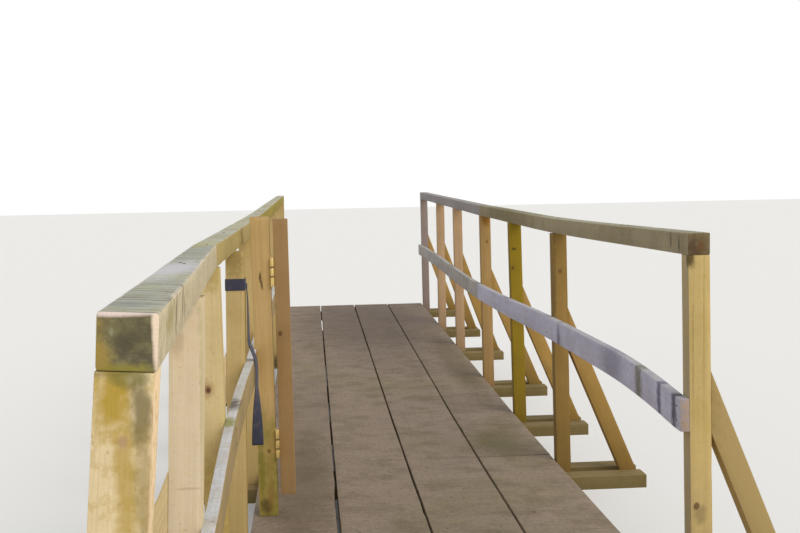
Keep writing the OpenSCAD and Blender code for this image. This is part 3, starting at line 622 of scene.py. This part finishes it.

# %% [markdown]
# Sun and rain bleach the top of a handrail to silver, and lichen greens it in patches. The
# boards came rough from the bandsaw, whose blade left lines across them 30 to 40 mm apart.
# The near end grain is dark, partly its own colour and partly painted shade, and its top and
# right arrises carry pale strips of painted highlight.

# %% Finishes: handrails
wood_finish("silver_near_rail", "#cfc19a", "#a8986c", "#8f885c",
    # The near rail's end colour is dark partly as painted shade, its walkway face is paled as painted light,
    # and its pale arris colour is painted highlight as well as wear.
    Inner="#d6c7a6", Top="#adb1ab", Moss="#aaaa72", End="#5f5842", Edge="#f8e4d0", Blotch_Amount=0.3,
    Inner_Amount=0.85, Moss_Amount=0.8, End_Amount=0.97, Edge_Amount=1.0, Ring_Contrast=0.08,
    Grain_Contrast=0.3,
    Mottle_Amount=0.34, Saw_Marks=0.95, Checks=0.06,
    stains=[(-602, -4794, 1462, 24, 20, 52, "#a88e46", 0.95), (-583, -4794, 1487, 4, 8, 7, "#b0b09a", 0.6),
        (-575, -4794, 1447, 60, 20, 10, "#94873a", 0.8), (-562, -4794, 1482, 34, 20, 26, "#504b3a", 0.65),
        (-575, -4700, 1508, 40, 60, 9, "#7b8382", 0.55), (-612, -3960, 1500, 60, 460, 30, "#d0ced4", 0.8),
        (-590, -4420, 1506, 40, 110, 9, "#b3b078", 0.5), (-541, -4602, 1505, 12, 60, 9, "#4d4f42", 0.8),
        (-537, -4620, 1480, 30, 110, 30, "#a4935e", 0.7), (-539, -4512, 1474, 40, 22, 44, "#7d7150", 0.85),
        (-542, -4379, 1474, 40, 22, 44, "#7c6656", 0.85), (-545, -4330, 1462, 40, 16, 34, "#8a7a5e", 0.75)],
    # The two pale strips on the end face are painted highlights along its right and top arrises.
    knots=[(-535, -4794, 1490, 8, 9, 110, "#f6dfc6", 0.95), (-560, -4795, 1509, 110, 9, 7, "#f2ddd4", 0.9)])
wood_finish("straw_mid_rail", "#b9a368", "#937e48", "#96864a",
    Inner="#b39e61", Top="#bdbfb2", Moss="#a9a878", End="#c2ae7e", Moss_Amount=0.8, Edge_Amount=0.6,
    Ring_Contrast=0.15, Grain_Contrast=0.4, Saw_Marks=0.6, Checks=0.06, Speckle=0.3,
    stains=[(-650, -1900, 1500, 34, 80, 14, "#6a695e", 0.8)])
wood_finish("mossy_far_rail", "#a3923f", "#7d6e2a", "#8c7c30",
    Inner="#a08e34", Top="#c3c4b8", Moss="#a9a878", Moss_Amount=0.6, Saw_Marks=0.4)
wood_finish("brown_right_rail", "#a2967a", "#786c4e", "#7f7454",
    Inner="#9f9376", Top="#a9a892", Moss="#8d8c66", End="#664a2c", Blotch_Amount=0.5, Inner_Amount=0.6,
    Inner_Side=-1.0, Moss_Amount=0.6, Ring_Contrast=0.15, Grain_Contrast=0.5, Saw_Marks=0.5, Speckle=0.3,
    stains=[(632, -2730, 1448, 14, 16, 38, "#565038", 0.8), (632, -2801, 1444, 14, 12, 40, "#4d4732", 0.85),
        (640, -2882, 1432, 30, 10, 44, "#4b402e", 0.85), (662, -2882, 1436, 20, 10, 22, "#7d5a36", 0.8),
        (650, -2882, 1430, 60, 10, 60, "#5f442a", 0.45), (630, 100, 1430, 60, 1150, 90, "#6a5f38", 0.6)])
wood_finish("grey_right_rail", "#989292", "#746d6a", "#827a74",
    Inner="#979193", Top="#a9a5a0", End="#7a6a52", Inner_Amount=0.6, Inner_Side=-1.0, Saw_Marks=0.3)
print("finishes:", len(finishes))

# %% [markdown]
# The midrails have no green left. They are weathered to a grey that turns lavender in open
# shade, with dark bands where wet leaves lay and tan end grain where they were cut.

# %% Finishes: midrails
wood_finish("tan_inside_midrail", "#a8926a", "#84704a", "#93805a",
    Inner="#ab9467", Top="#d2d5da", Moss="#a9a98c", End="#a08a5e", Edge="#dcd2ba", Blotch_Amount=0.3,
    Inner_Amount=0.8, Moss_Amount=0.5, Edge_Amount=0.7, Ring_Contrast=0.15, Grain_Contrast=0.5, Saw_Marks=0.04,
    Checks=0.04, Speckle=0.3,
    stains=[(-609, -2670, 1012, 34, 120, 14, "#645c50", 0.95),
            (-612, -2885, 1003, 34, 80, 14, "#8f9050", 0.85)],
    knots=[(-570, -3536, 1000, 6, 12, 8, "#3a3428", 0.85)])
wood_finish("lavender_midrail", "#bebcce", "#908c9e", "#95919c",
    Inner="#c8c6da", Top="#b9b8be", Moss="#9a988c", End="#bb9662", Blotch_Amount=0.35, Inner_Side=-1.0,
    Moss_Amount=0.4, Ring_Contrast=0.22, Saw_Marks=0.2, Checks=0.15, Speckle=0.3,
    stains=[(615, -2470, 1000, 60, 56, 120, "#75705f", 0.85), (614, -2680, 992, 60, 26, 120, "#62607a", 0.85),
        (614, -2818, 985, 60, 30, 120, "#545260", 0.9), (620, -1325, 970, 60, 50, 110, "#65627c", 0.85),
        (616, -2150, 1010, 60, 190, 100, "#8a8698", 0.7)])
wood_finish("silver_brown_midrail", "#b2ada8", "#8b857e", "#8f887a",
    Inner="#b4b0ad", Top="#b6b3b0", Moss="#9a988c", End="#b1976a", Blotch_Amount=0.5, Inner_Amount=0.5,
    Inner_Side=-1.0, Moss_Amount=0.4, Ring_Contrast=0.22, Mottle_Amount=0.2, Saw_Marks=0.2, Checks=0.2,
    Speckle=0.3,
    stains=[(620, 900, 940, 16, 260, 60, "#8f8a6c", 0.5), (620, 2100, 960, 16, 60, 60, "#7a7468", 0.7)])
print("finishes:", len(finishes))

# %% [markdown]
# Boots and leaf mould keep the deck brown and rub its grain soft, so its rings are faint
# and its blotches are broad. The joists take the drip between the planks and stay olive,
# and what lies under the deck is dark and damp.

# %% Finishes: deck and what carries it
wood_finish("worn_deck_pine", "#8e7e6a", "#6a5b45", "#5d503c",
    Top="#9a8a7d", Moss="#746f4c", Foot="#6a5c4c", End="#6b5a42", Edge="#988978", Inner_Amount=0.0,
    Top_Amount=0.62, Moss_Amount=0.5, Ring_Spacing=8 * mm, Ring_Contrast=0.12, Grain_Contrast=0.35,
    Mottle_Amount=0.3, Saw_Marks=0.2, Checks=0.22, Speckle=0.6, Roughness=0.76,
    stains=[(448, -747, 440, 170, 480, 40, "#66603a", 0.6), (-440, -1300, 445, 190, 1300, 60, "#5f5039", 0.5),
        (100, 3900, 450, 900, 2900, 90, "#5c504b", 0.6), (520, 1600, 450, 120, 1900, 60, "#5f523c", 0.5),
        (-60, -2900, 455, 60, 900, 40, "#8c7d70", 0.3)])
wood_finish("olive_joist_pine", "#83724a", "#5e4e2c", "#665a32",
    Top="#8f7c54", Foot="#5a4c30", End="#8f7850", Blotch_Amount=0.5, Inner_Amount=0.0, Top_Amount=0.6,
    Foot_Amount=0.2, Foot_Level=0.3, Foot_Height=0.1, Ring_Spacing=6 * mm, Checks=0.2)
wood_finish("damp_beam_pine", "#6d5c40", "#4c3e28", "#4a4628",
    Top="#665a42", Foot="#3f3a24", End="#5d4c33", Blotch_Amount=0.6, Inner_Amount=0.0, Foot_Amount=0.6,
    Foot_Level=0.0, Ring_Spacing=6 * mm, Saw_Marks=0.3, Checks=0.6)
print("finishes:", len(finishes))

# %% [markdown]
# A CAD node is loose triangles, and one node may hold several timbers. A copy is merged and
# split into its separate timbers, so that each can have its own grain.

# %% Split a node into timbers
def islands(mesh):
    bm = bmesh.new()
    bm.from_mesh(mesh)
    bmesh.ops.remove_doubles(bm, verts=bm.verts, dist=0.02 * mm)
    waiting = dict.fromkeys(bm.verts)
    groups = []
    while waiting:
        stack = [next(iter(waiting))]
        del waiting[stack[0]]
        group = []
        while stack:
            vert = stack.pop()
            group.append(vert)
            for edge in vert.link_edges:
                other = edge.other_vert(vert)
                if other in waiting:
                    del waiting[other]
                    stack.append(other)
        groups.append(group)
    return bm, groups

print("left_posts_far holds", len(islands(frame["nodes"]["left_posts_far"].data)[1]), "posts")

# %% [markdown]
# A timber's own axes come from the spread of its corners. A board that runs with the bridge
# bends from frame to frame, so its grain follows a centre line through its sections. The
# CAD line has small corners at each frame, where real wood bends in a curve, so the line is
# eased by averaging it over a short window. That moves the timber by a few millimetres at
# most, and not at all at its ends.

# %% Axes and centre line of a timber
def timber_axes(points):
    centre = points.mean(0)
    along = Vector(np.linalg.eigh(np.cov((points - centre).T))[1][:, 2]).normalized()
    if along.dot(Vector((0.1, 1, 0.5))) < 0:
        along = -along
    helper = Vector((0, 1, 0)) if abs(along.z) > 0.5 else Vector((0, 0, 1))
    across = along.cross(helper).normalized()
    return Vector(centre), along, across, across.cross(along).normalized()

def centre_line(points, ease):
    stations = sorted(set(np.round(points[:, 1], 4)))
    near = 0.2 * mm
    middles = np.array([points[np.abs(points[:, 1] - y) < near][:, [0, 2]].mean(0) for y in stations])
    def raw(y):
        return np.array([np.interp(y, stations, middles[:, i]) for i in (0, 1)])
    def eased(y):
        window = min(ease, y - stations[0], stations[-1] - y)
        if window <= 0:
            return raw(y)
        return np.mean([raw(y + window * share) for share in np.linspace(-1, 1, 17)], axis=0)
    return raw, eased

# %% [markdown]
# No sawn timber has knife edges. Its arrises are bevelled 2 to 5 mm, and the bevel's faces
# are numbered in a layer so that the finish can wear them. Then it is sliced along its
# length, which gives a noise points to move: the faces wander by half a millimetre and the
# edges carry dents. The noise takes its start from the clock unless it is given a seed.

# %% Cut, ease and roughen one timber
noise.seed_set(4)

def flat_faces_and_sharp_edges(bm, flat, sharp):
    """Joins the triangles of each flat face and returns the edges that stay sharp, in degrees."""
    bmesh.ops.dissolve_limit(bm, angle_limit=math.radians(flat), verts=bm.verts, edges=bm.edges)
    return [e for e in bm.edges if len(e.link_faces) == 2 and e.calc_face_angle(0) > math.radians(sharp)]

def eased_edges(bm, edges, size):
    made = bmesh.ops.bevel(
        bm, geom=edges, offset=size, segments=2, profile=0.6, affect="EDGES", clamp_overlap=True)
    return made["faces"]

def dressed_timber(points, faces, rng, step, columns, arris, wander, ease):
    bm = bmesh.new()
    rounded = bm.faces.layers.int.new("rounded")
    verts = [bm.verts.new(p) for p in points]
    for face in faces:
        bm.faces.new([verts[i] for i in face])
    for face in eased_edges(bm, flat_faces_and_sharp_edges(bm, flat=0.3, sharp=30), arris):
        face[rounded] = 1
    points = np.array(points)
    centre, along, across, up = timber_axes(points)
    runs_with_bridge = abs(along.y) > 0.9
    raw, eased = centre_line(points, ease) if runs_with_bridge else (None, None)
    lengths = [(v.co - centre).dot(along) for v in bm.verts]
    widths = [(v.co - centre).dot(across) for v in bm.verts]
    low, high = min(lengths), max(lengths)
    cuts = max(2, round((high - low) / step))
    planes = [(centre + along * (low + (high - low) * (i + 0.5) / cuts), along) for i in range(cuts)]
    low, high = min(widths), max(widths)
    planes += [(centre + across * (low + (high - low) * i / columns), across) for i in range(1, columns)]
    for spot, direction in planes:
        everything = bm.verts[:] + bm.edges[:] + bm.faces[:]
        bmesh.ops.bisect_plane(bm, geom=everything, plane_co=spot, plane_no=direction, dist=1e-6)
    grain_of = {}
    shift = Vector([rng.uniform(0, 50) for axis in range(3)])
    for v in bm.verts:
        start = v.co.copy()
        if runs_with_bridge:
            x, z = raw(start.y)
            new_x, new_z = eased(start.y)
            v.co += Vector((new_x - x, 0, new_z - z))
            grain_of[v] = Vector((start.y, start.x - x, start.z - z))
        else:
            d = start - centre
            grain_of[v] = Vector((d.dot(along), d.dot(across), d.dot(up)))
        slow = noise.noise_vector(start * 2.2 + shift)
        quick = noise.noise_vector(start * 26 + shift)
        dent = max(0.0, noise.noise(start * 9 - shift) - 0.34) * 4
        inward = (centre + along * (start - centre).dot(along) - start).normalized() if dent else Vector()
        if runs_with_bridge and dent:
            inward = Vector((raw(start.y)[0] - start.x, 0, raw(start.y)[1] - start.z)).normalized()
        v.co += slow * wander + quick * wander * 0.3 + inward * dent * wander * 1.5
    return bm, along, grain_of, rounded

# %% [markdown]
# The dressed timbers of one node are written into one mesh, with the attributes that the
# wood group reads: grain, tone, end and arris. No point may pass the CAD model's box, so the
# sills stay flat on the ground. The pith lies outside small timbers, as it does in timber
# sawn from big logs, so their faces show long lines.

# %% Dress one node
pieces = {}

def dress(node, finish, step=40 * mm, columns=1, arris=2.5 * mm, wander=0.5 * mm, ease=0.1, body="bridge",
          shape=None):
    rng = random.Random(node)
    source, groups = islands(frame["nodes"][node].data)
    coordinates, polygons, grains, tones, ends, arrises = [], [], [], [], [], []
    for group in groups:
        index = {v: i for i, v in enumerate(group)}
        faces = [[index[v] for v in f.verts] for f in source.faces if f.verts[0] in index]
        points = [v.co[:] for v in group]
        bm, along, grain_of, rounded = dressed_timber(points, faces, rng, step, columns, arris, wander, ease)
        pith = Vector((rng.uniform(0, 40), rng.choice((-1, 1)) * rng.uniform(0.02, 0.06),
                       rng.choice((-1, 1)) * rng.uniform(0.015, 0.05)))
        own_tone = rng.random()
        base = len(coordinates)
        bm.verts.index_update()
        for v in bm.verts:
            spot = shape(v.co) if shape else v.co
            coordinates.append([min(max(c, low), high) for c, low, high in zip(spot, *cad_box)])
            grains.append((grain_of[v] + pith)[:])
        bm.normal_update()
        for f in bm.faces:
            polygons.append([base + v.index for v in f.verts])
            ends.append(1.0 if abs(f.normal.dot(along)) > 0.75 else 0.0)
            arrises.append(float(f[rounded]))
            tones.append(own_tone)
        bm.free()
    source.free()
    mesh = bpy.data.meshes.new(node + "_timber")
    mesh.from_pydata(coordinates, [], polygons)
    mesh.attributes.new("grain", "FLOAT_VECTOR", "POINT").data.foreach_set("vector", np.ravel(grains))
    for name, values in (("tone", tones), ("end", ends), ("arris", arrises)):
        mesh.attributes.new(name, "FLOAT", "FACE").data.foreach_set("value", values)
    mesh.shade_smooth()
    mesh.set_sharp_from_angle(angle=math.radians(32))
    mesh.materials.append(finishes[finish])
    piece = put(node + "_timber", mesh)
    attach(piece, body)
    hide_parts(node)
    pieces[node] = piece

# %% Dress the posts and struts
posts = {
    "left_post_1": "olive_treated_pine", "left_post_2": "cream_treated_pine",
    "left_post_3": "straw_treated_pine", "left_post_4": "tan_treated_pine",
    "left_posts_far": "tan_treated_pine", "right_post_3": "pale_yellow_pine",
    "right_post_5": "tan_post_pine", "right_post_6": "mustard_post_pine",
    "right_post_7": "orange_post_pine", "right_post_8": "rosy_post_pine",
    "right_post_9": "rosy_post_pine", "right_post_10": "grey_post_pine",
    "left_struts": "cream_strut_pine", "right_struts": "tan_strut_pine"}
for node, finish in posts.items():
    dress(node, finish)
dress("gate_post", "green_footed_pine")
dress("gate_stile", "orange_brown_pine", body="stile")
print("posts, struts and gate:", len(pieces), "pieces")

# %% Dress the rails
top_rails = {
    "left_top_rail_near": "silver_near_rail", "left_top_rail_mid": "straw_mid_rail",
    "left_top_rail_far": "mossy_far_rail", "right_top_rail_near": "brown_right_rail",
    "right_top_rail_far": "grey_right_rail"}
midrails = {
    "left_midrail_near": "tan_inside_midrail", "left_midrail_far": "tan_inside_midrail",
    "right_midrail_near": "lavender_midrail", "right_midrail_far": "silver_brown_midrail"}
for node, finish in top_rails.items():
    arris = 4 * mm if "near" in node else 3 * mm
    dress(node, finish, step=30 * mm, columns=6, arris=arris, wander=0.7 * mm, ease=0.6)
for node, finish in midrails.items():
    dress(node, finish, step=30 * mm, arris=2 * mm, ease=0.15 if "left" in node else 0.28)
print("rails:", sum(len(pieces[n].data.polygons) for n in pieces if "rail" in n), "faces")

# %% [markdown]
# The first line of planks has shrunk away from the second towards the near end, so its joint
# opens from 8 to 12 mm there. Its edge is drawn back over the first 120 mm of that stretch.

# %% Dress the deck and what carries it
edge_x, tight_y, shrinkage, fade_in = -330 * mm, -1380 * mm, 4.5 * mm, 120 * mm

def shrunk_edge(co):
    if co.x < edge_x or co.y > tight_y:
        return co
    return Vector((co.x - shrinkage * min(1.0, (tight_y - co.y) / fade_in), co.y, co.z))

for line in (1, 2, 3, 4):
    dress(f"deck_plank_{line}", "worn_deck_pine", step=50 * mm, columns=14, arris=4 * mm,
          wander=1.2 * mm, ease=0.3, shape=shrunk_edge if line == 1 else None)
for node in ["cross_joists_near"] + [f"cross_joist_{i}" for i in range(5, 11)]:
    dress(node, "olive_joist_pine", step=60 * mm, columns=3, arris=3 * mm, wander=1.0 * mm)
for node in ("main_beam_left", "main_beam_right"):
    dress(node, "damp_beam_pine", step=120 * mm, arris=4 * mm, wander=1.2 * mm, ease=0.3)
for node in ("end_sill_near", "end_sill_far"):
    dress(node, "damp_beam_pine", step=60 * mm, columns=4, arris=5 * mm, wander=1.2 * mm)
print("timbers dressed:", len(pieces), "with", sum(len(p.data.polygons) for p in pieces.values()), "faces")

# %% [markdown]
# The hinges are pressed brass, gone dull. Brass is a metal, so its colour is the colour of
# its reflection. Where two knuckles meet, a dark band at the height of each seam is painted
# shade. The edges are eased by a fraction of a millimetre on a merged copy, which is what
# catches a line of light along each knuckle.

# %% Brass
brass = bpy.data.materials.new("satin_brass")
plate = empty_tree(brass)
where = (add(plate, "ShaderNodeTexCoord"), "Object")
tarnish = add(plate, "ShaderNodeTexNoise", {"Vector": where, "Scale": 160, "Detail": 4})
tarnish_and_seam_shade = [(add(plate, "ShaderNodeMapRange", [tarnish, 0.5, 0.75, 0.0, 0.6]), "#b08d50")]
level = add(plate, "ShaderNodeSeparateXYZ", [where])
hinge_l = 100 * mm
low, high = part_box("hinge_pin")
hinge_middles = (low.z + hinge_l / 2, high.z - hinge_l / 2)
half_knuckle = hinge_l / 3 / 2
# A dark band of painted shade at each seam where two knuckles meet.
for seam in [middle + turn * half_knuckle for middle in hinge_middles for turn in (-1, 1)]:
    off_seam = add(plate, "ShaderNodeMath", [(level, "Z"), seam], operation="SUBTRACT")
    from_seam = add(plate, "ShaderNodeMath", [off_seam], operation="ABSOLUTE")
    seam_shade = add(plate, "ShaderNodeMapRange", [from_seam, 4.5 * mm, 1.0 * mm, 0.0, 0.85])
    tarnish_and_seam_shade.append((seam_shade, "#4a3a24"))
colour = linear("#efd48c")
for share, over in tarnish_and_seam_shade:
    colour = (add(plate, "ShaderNodeMix", {0: share, 6: colour, 7: linear(over)}, data_type="RGBA"), 2)
polish = add(plate, "ShaderNodeMapRange", [tarnish, 0.0, 1.0, 0.28, 0.5])
metal = add(plate, "ShaderNodeBsdfPrincipled", {"Base Color": colour, "Metallic": 0.85, "Roughness": polish})
add(plate, "ShaderNodeOutputMaterial", [metal])
print("hinges are", round(hinge_middles[1] - hinge_middles[0], 3), "m apart")

# %% Hinges
def eased_copy(node, body):
    source, groups = islands(frame["nodes"][node].data)
    eased_edges(source, flat_faces_and_sharp_edges(source, flat=0.5, sharp=50), 0.35 * mm)
    mesh = bpy.data.meshes.new(node + "_brass")
    source.to_mesh(mesh)
    source.free()
    mesh.shade_smooth()
    mesh.set_sharp_from_angle(angle=math.radians(40))
    mesh.materials.append(brass)
    piece = put(node + "_brass", mesh)
    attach(piece, body)
    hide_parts(node)
    return piece

hinge_bodies = {"hinge_leaf_post": "bridge", "hinge_pin": "bridge", "hinge_leaf_stile": "stile"}
hinges = [eased_copy(node, body) for node, body in hinge_bodies.items()]
print("hinge faces:", [len(h.data.polygons) for h in hinges])

# %% [markdown]
# Nails hold the planks, rails and midrails, and screws hold the hinges. Each kind is one
# small head that repeats, so Geometry Nodes put it on a cloud of points, turned to each
# point's own facing and spun by a seeded random angle. The tree ends by realizing the
# instances and setting the material, and its result is kept as a plain mesh.

# %% The tree that places heads
heads = bpy.data.node_groups.new("heads_on_points", "GeometryNodeTree")
asks = {"Geometry": "Geometry", "Radius": "Float", "Depth": "Float", "Seed": "Int", "Material": "Material"}
for name, kind in asks.items():
    heads.interface.new_socket(name=name, in_out="INPUT", socket_type="NodeSocket" + kind)
heads.interface.new_socket(name="Geometry", in_out="OUTPUT", socket_type="NodeSocketGeometry")
asked = add(heads, "NodeGroupInput")
disc = add(heads, "GeometryNodeMeshCylinder", {
    "Vertices": 12, "Radius": (asked, "Radius"), "Depth": (asked, "Depth")})
dome = add(heads, "GeometryNodeMeshCone", {
    "Vertices": 12, "Radius Top": 2 * mm, "Radius Bottom": (asked, "Radius"), "Depth": 0.5 * mm})
lift = add(heads, "ShaderNodeMath", [(asked, "Depth"), 0.5], operation="MULTIPLY")
lifted = add(heads, "ShaderNodeCombineXYZ", {"Z": lift})
raised = add(heads, "GeometryNodeTransform", {"Geometry": (dome, "Mesh"), "Translation": lifted})
head = add(heads, "GeometryNodeJoinGeometry", [(disc, "Mesh")])
heads.links.new(raised.outputs[0], head.inputs[0])
outward = add(heads, "GeometryNodeInputNamedAttribute", {"Name": "facing"}, data_type="FLOAT_VECTOR")
aimed = add(heads, "FunctionNodeAlignRotationToVector", {"Vector": (outward, "Attribute")}, axis="Z")
angle = add(heads, "FunctionNodeRandomValue", {2: 0.0, 3: 6.28, "Seed": (asked, "Seed")}, data_type="FLOAT")
spin = add(heads, "ShaderNodeCombineXYZ", {"Z": (angle, 1)})
spin_turn = add(heads, "FunctionNodeEulerToRotation", [spin])
turn = add(heads, "FunctionNodeRotateRotation", [aimed, spin_turn], rotation_space="LOCAL")
placed = add(heads, "GeometryNodeInstanceOnPoints", {
    "Points": (asked, "Geometry"), "Instance": head, "Rotation": turn})
real = add(heads, "GeometryNodeRealizeInstances", [placed])
painted = add(heads, "GeometryNodeSetMaterial", {"Geometry": real, "Material": (asked, "Material")})
add(heads, "NodeGroupOutput", [painted])
print("tree for heads has", len(heads.nodes), "nodes")

# %% Put heads on points
def heads_piece(name, spots, radius, depth, seed, material, body="bridge"):
    cloud = bpy.data.meshes.new(name + "_points")
    cloud.from_pydata([p[:] for p, out in spots], [], [])
    facings = cloud.attributes.new("facing", "FLOAT_VECTOR", "POINT")
    facings.data.foreach_set("vector", np.ravel([out[:] for p, out in spots]))
    holder = put(name + "_points", cloud)
    modifier = holder.modifiers.new("heads", "NODES")
    modifier.node_group = heads
    wanted = {"Radius": radius, "Depth": depth, "Seed": seed, "Material": material}
    for item in heads.interface.items_tree:
        if item.in_out == "INPUT" and item.name in wanted:
            modifier[item.identifier] = wanted[item.name]
    bpy.context.view_layer.update()
    graph = bpy.context.evaluated_depsgraph_get()
    mesh = bpy.data.meshes.new_from_object(holder.evaluated_get(graph))
    holder.modifiers.clear()
    bpy.data.objects.remove(holder)
    piece = put(name, mesh)
    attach(piece, body)
    print(name, "has", len(spots), "heads and", len(mesh.polygons), "faces")

# %% [markdown]
# Each place is found by shooting a ray at the dressed timber, so a head sits on the surface
# that is really there. The nails are galvanised steel, dulled to the brown grey of the wood
# that they stain.

# %% Nails
steel = bpy.data.materials.new("dull_galvanised_steel")
rust = empty_tree(steel)
where = (add(rust, "ShaderNodeTexCoord"), "Object")
spread = add(rust, "ShaderNodeTexNoise", {"Vector": where, "Scale": 120, "Detail": 4})
rusty = add(rust, "ShaderNodeMix", {0: spread, 6: linear("#6a6258"), 7: linear("#4c3c2e")}, data_type="RGBA")
skin = add(rust, "ShaderNodeBsdfPrincipled", {"Base Color": (rusty, 2), "Metallic": 0.5, "Roughness": 0.62})
add(rust, "ShaderNodeOutputMaterial", [skin])

trees = {}

def surface(node, origin, direction):
    if node not in trees:
        mesh = pieces[node].data
        faces = [p.vertices for p in mesh.polygons]
        trees[node] = BVHTree.FromPolygons([v.co for v in mesh.vertices], faces)
    spot, normal, face, distance = trees[node].ray_cast(Vector(origin), Vector(direction).normalized())
    return (spot, normal) if spot else None

rng = random.Random(5)
down, over_all = (0, 0, -1), 2.0
nails = []
for y in frame_y:
    for joist in (-80 * mm, 80 * mm):
        for line in (1, 2, 3, 4):
            low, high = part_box(f"deck_plank_{line}")
            for share in (0.2, 0.8):
                x = low.x + (high.x - low.x) * share + rng.uniform(-1, 1) * 9 * mm
                spot = (x, y + joist + rng.uniform(-1, 1) * 12 * mm, over_all)
                nails.append(surface(f"deck_plank_{line}", spot, down))
for node in top_rails:
    side = -1 if "left" in node else 1
    low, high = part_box(node)
    for y in [y + dy for y in frame_y for dy in (-17 * mm, 17 * mm)]:
        if low.y + 70 * mm < y < high.y - 8 * mm:
            inner_face = surface(node, (0.45, y, (low.z + high.z) / 2), (side, 0, 0))
            if inner_face:
                x = inner_face[0].x + side * (31 + rng.uniform(-8, 8)) * mm
                nails.append(surface(node, (x, y, over_all), down))
bare_frames = (-4.760, -3.817, -2.142)    # frames with no right post
for node in midrails:
    side = -1 if "left" in node else 1
    low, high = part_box(node)
    for y in frame_y:
        if low.y - 1 * mm < y < high.y + 1 * mm and not (side > 0 and y in bare_frames):
            top = None
            for x in [(low.x + high.x) / 2, *np.linspace(low.x, high.x, 40)]:
                top = top or surface(node, (x, y, over_all), down)
            for drop in (24 * mm, 64 * mm):
                if top:
                    spot = (0.0, y + rng.uniform(-6, 6) * mm, top[0].z - drop)
                    nails.append(surface(node, spot, (side, 0, 0)))
nails = [n for n in nails if n]
heads_piece("nail_heads", [(p + out * 0.1 * mm, out) for p, out in nails], 3.6 * mm, 1.0 * mm, 11, steel)

# %% [markdown]
# Each hinge leaf has three countersunk screws, which show when the stile swings open. Their
# places are found on the leaves as the nails' were, from the gap between the two leaves.

# %% Hinge screws
for node, piece in zip(hinge_bodies, hinges):
    pieces[node] = piece
pin_x, pin_y, pin_z = frame["joints"][0]["pos_m"]
pin_lean = -0.005236
for node, side in (("hinge_leaf_post", -1), ("hinge_leaf_stile", 1)):
    low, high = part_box(node)
    screws = []
    for middle in (low.z + hinge_l / 2, high.z - hinge_l / 2):
        for dz, dy in ((-33 * mm, 21 * mm), (0, 27 * mm), (33 * mm, 21 * mm)):
            z = middle + dz
            hit = surface(node, (pin_x + (z - pin_z) * pin_lean, pin_y + dy, z), (side, 0, 0))
            if hit:
                screws.append((hit[0] - hit[1] * 0.1 * mm, hit[1]))
    heads_piece("screws_" + node, screws, 3.4 * mm, 0.8 * mm, 3, brass, hinge_bodies[node])
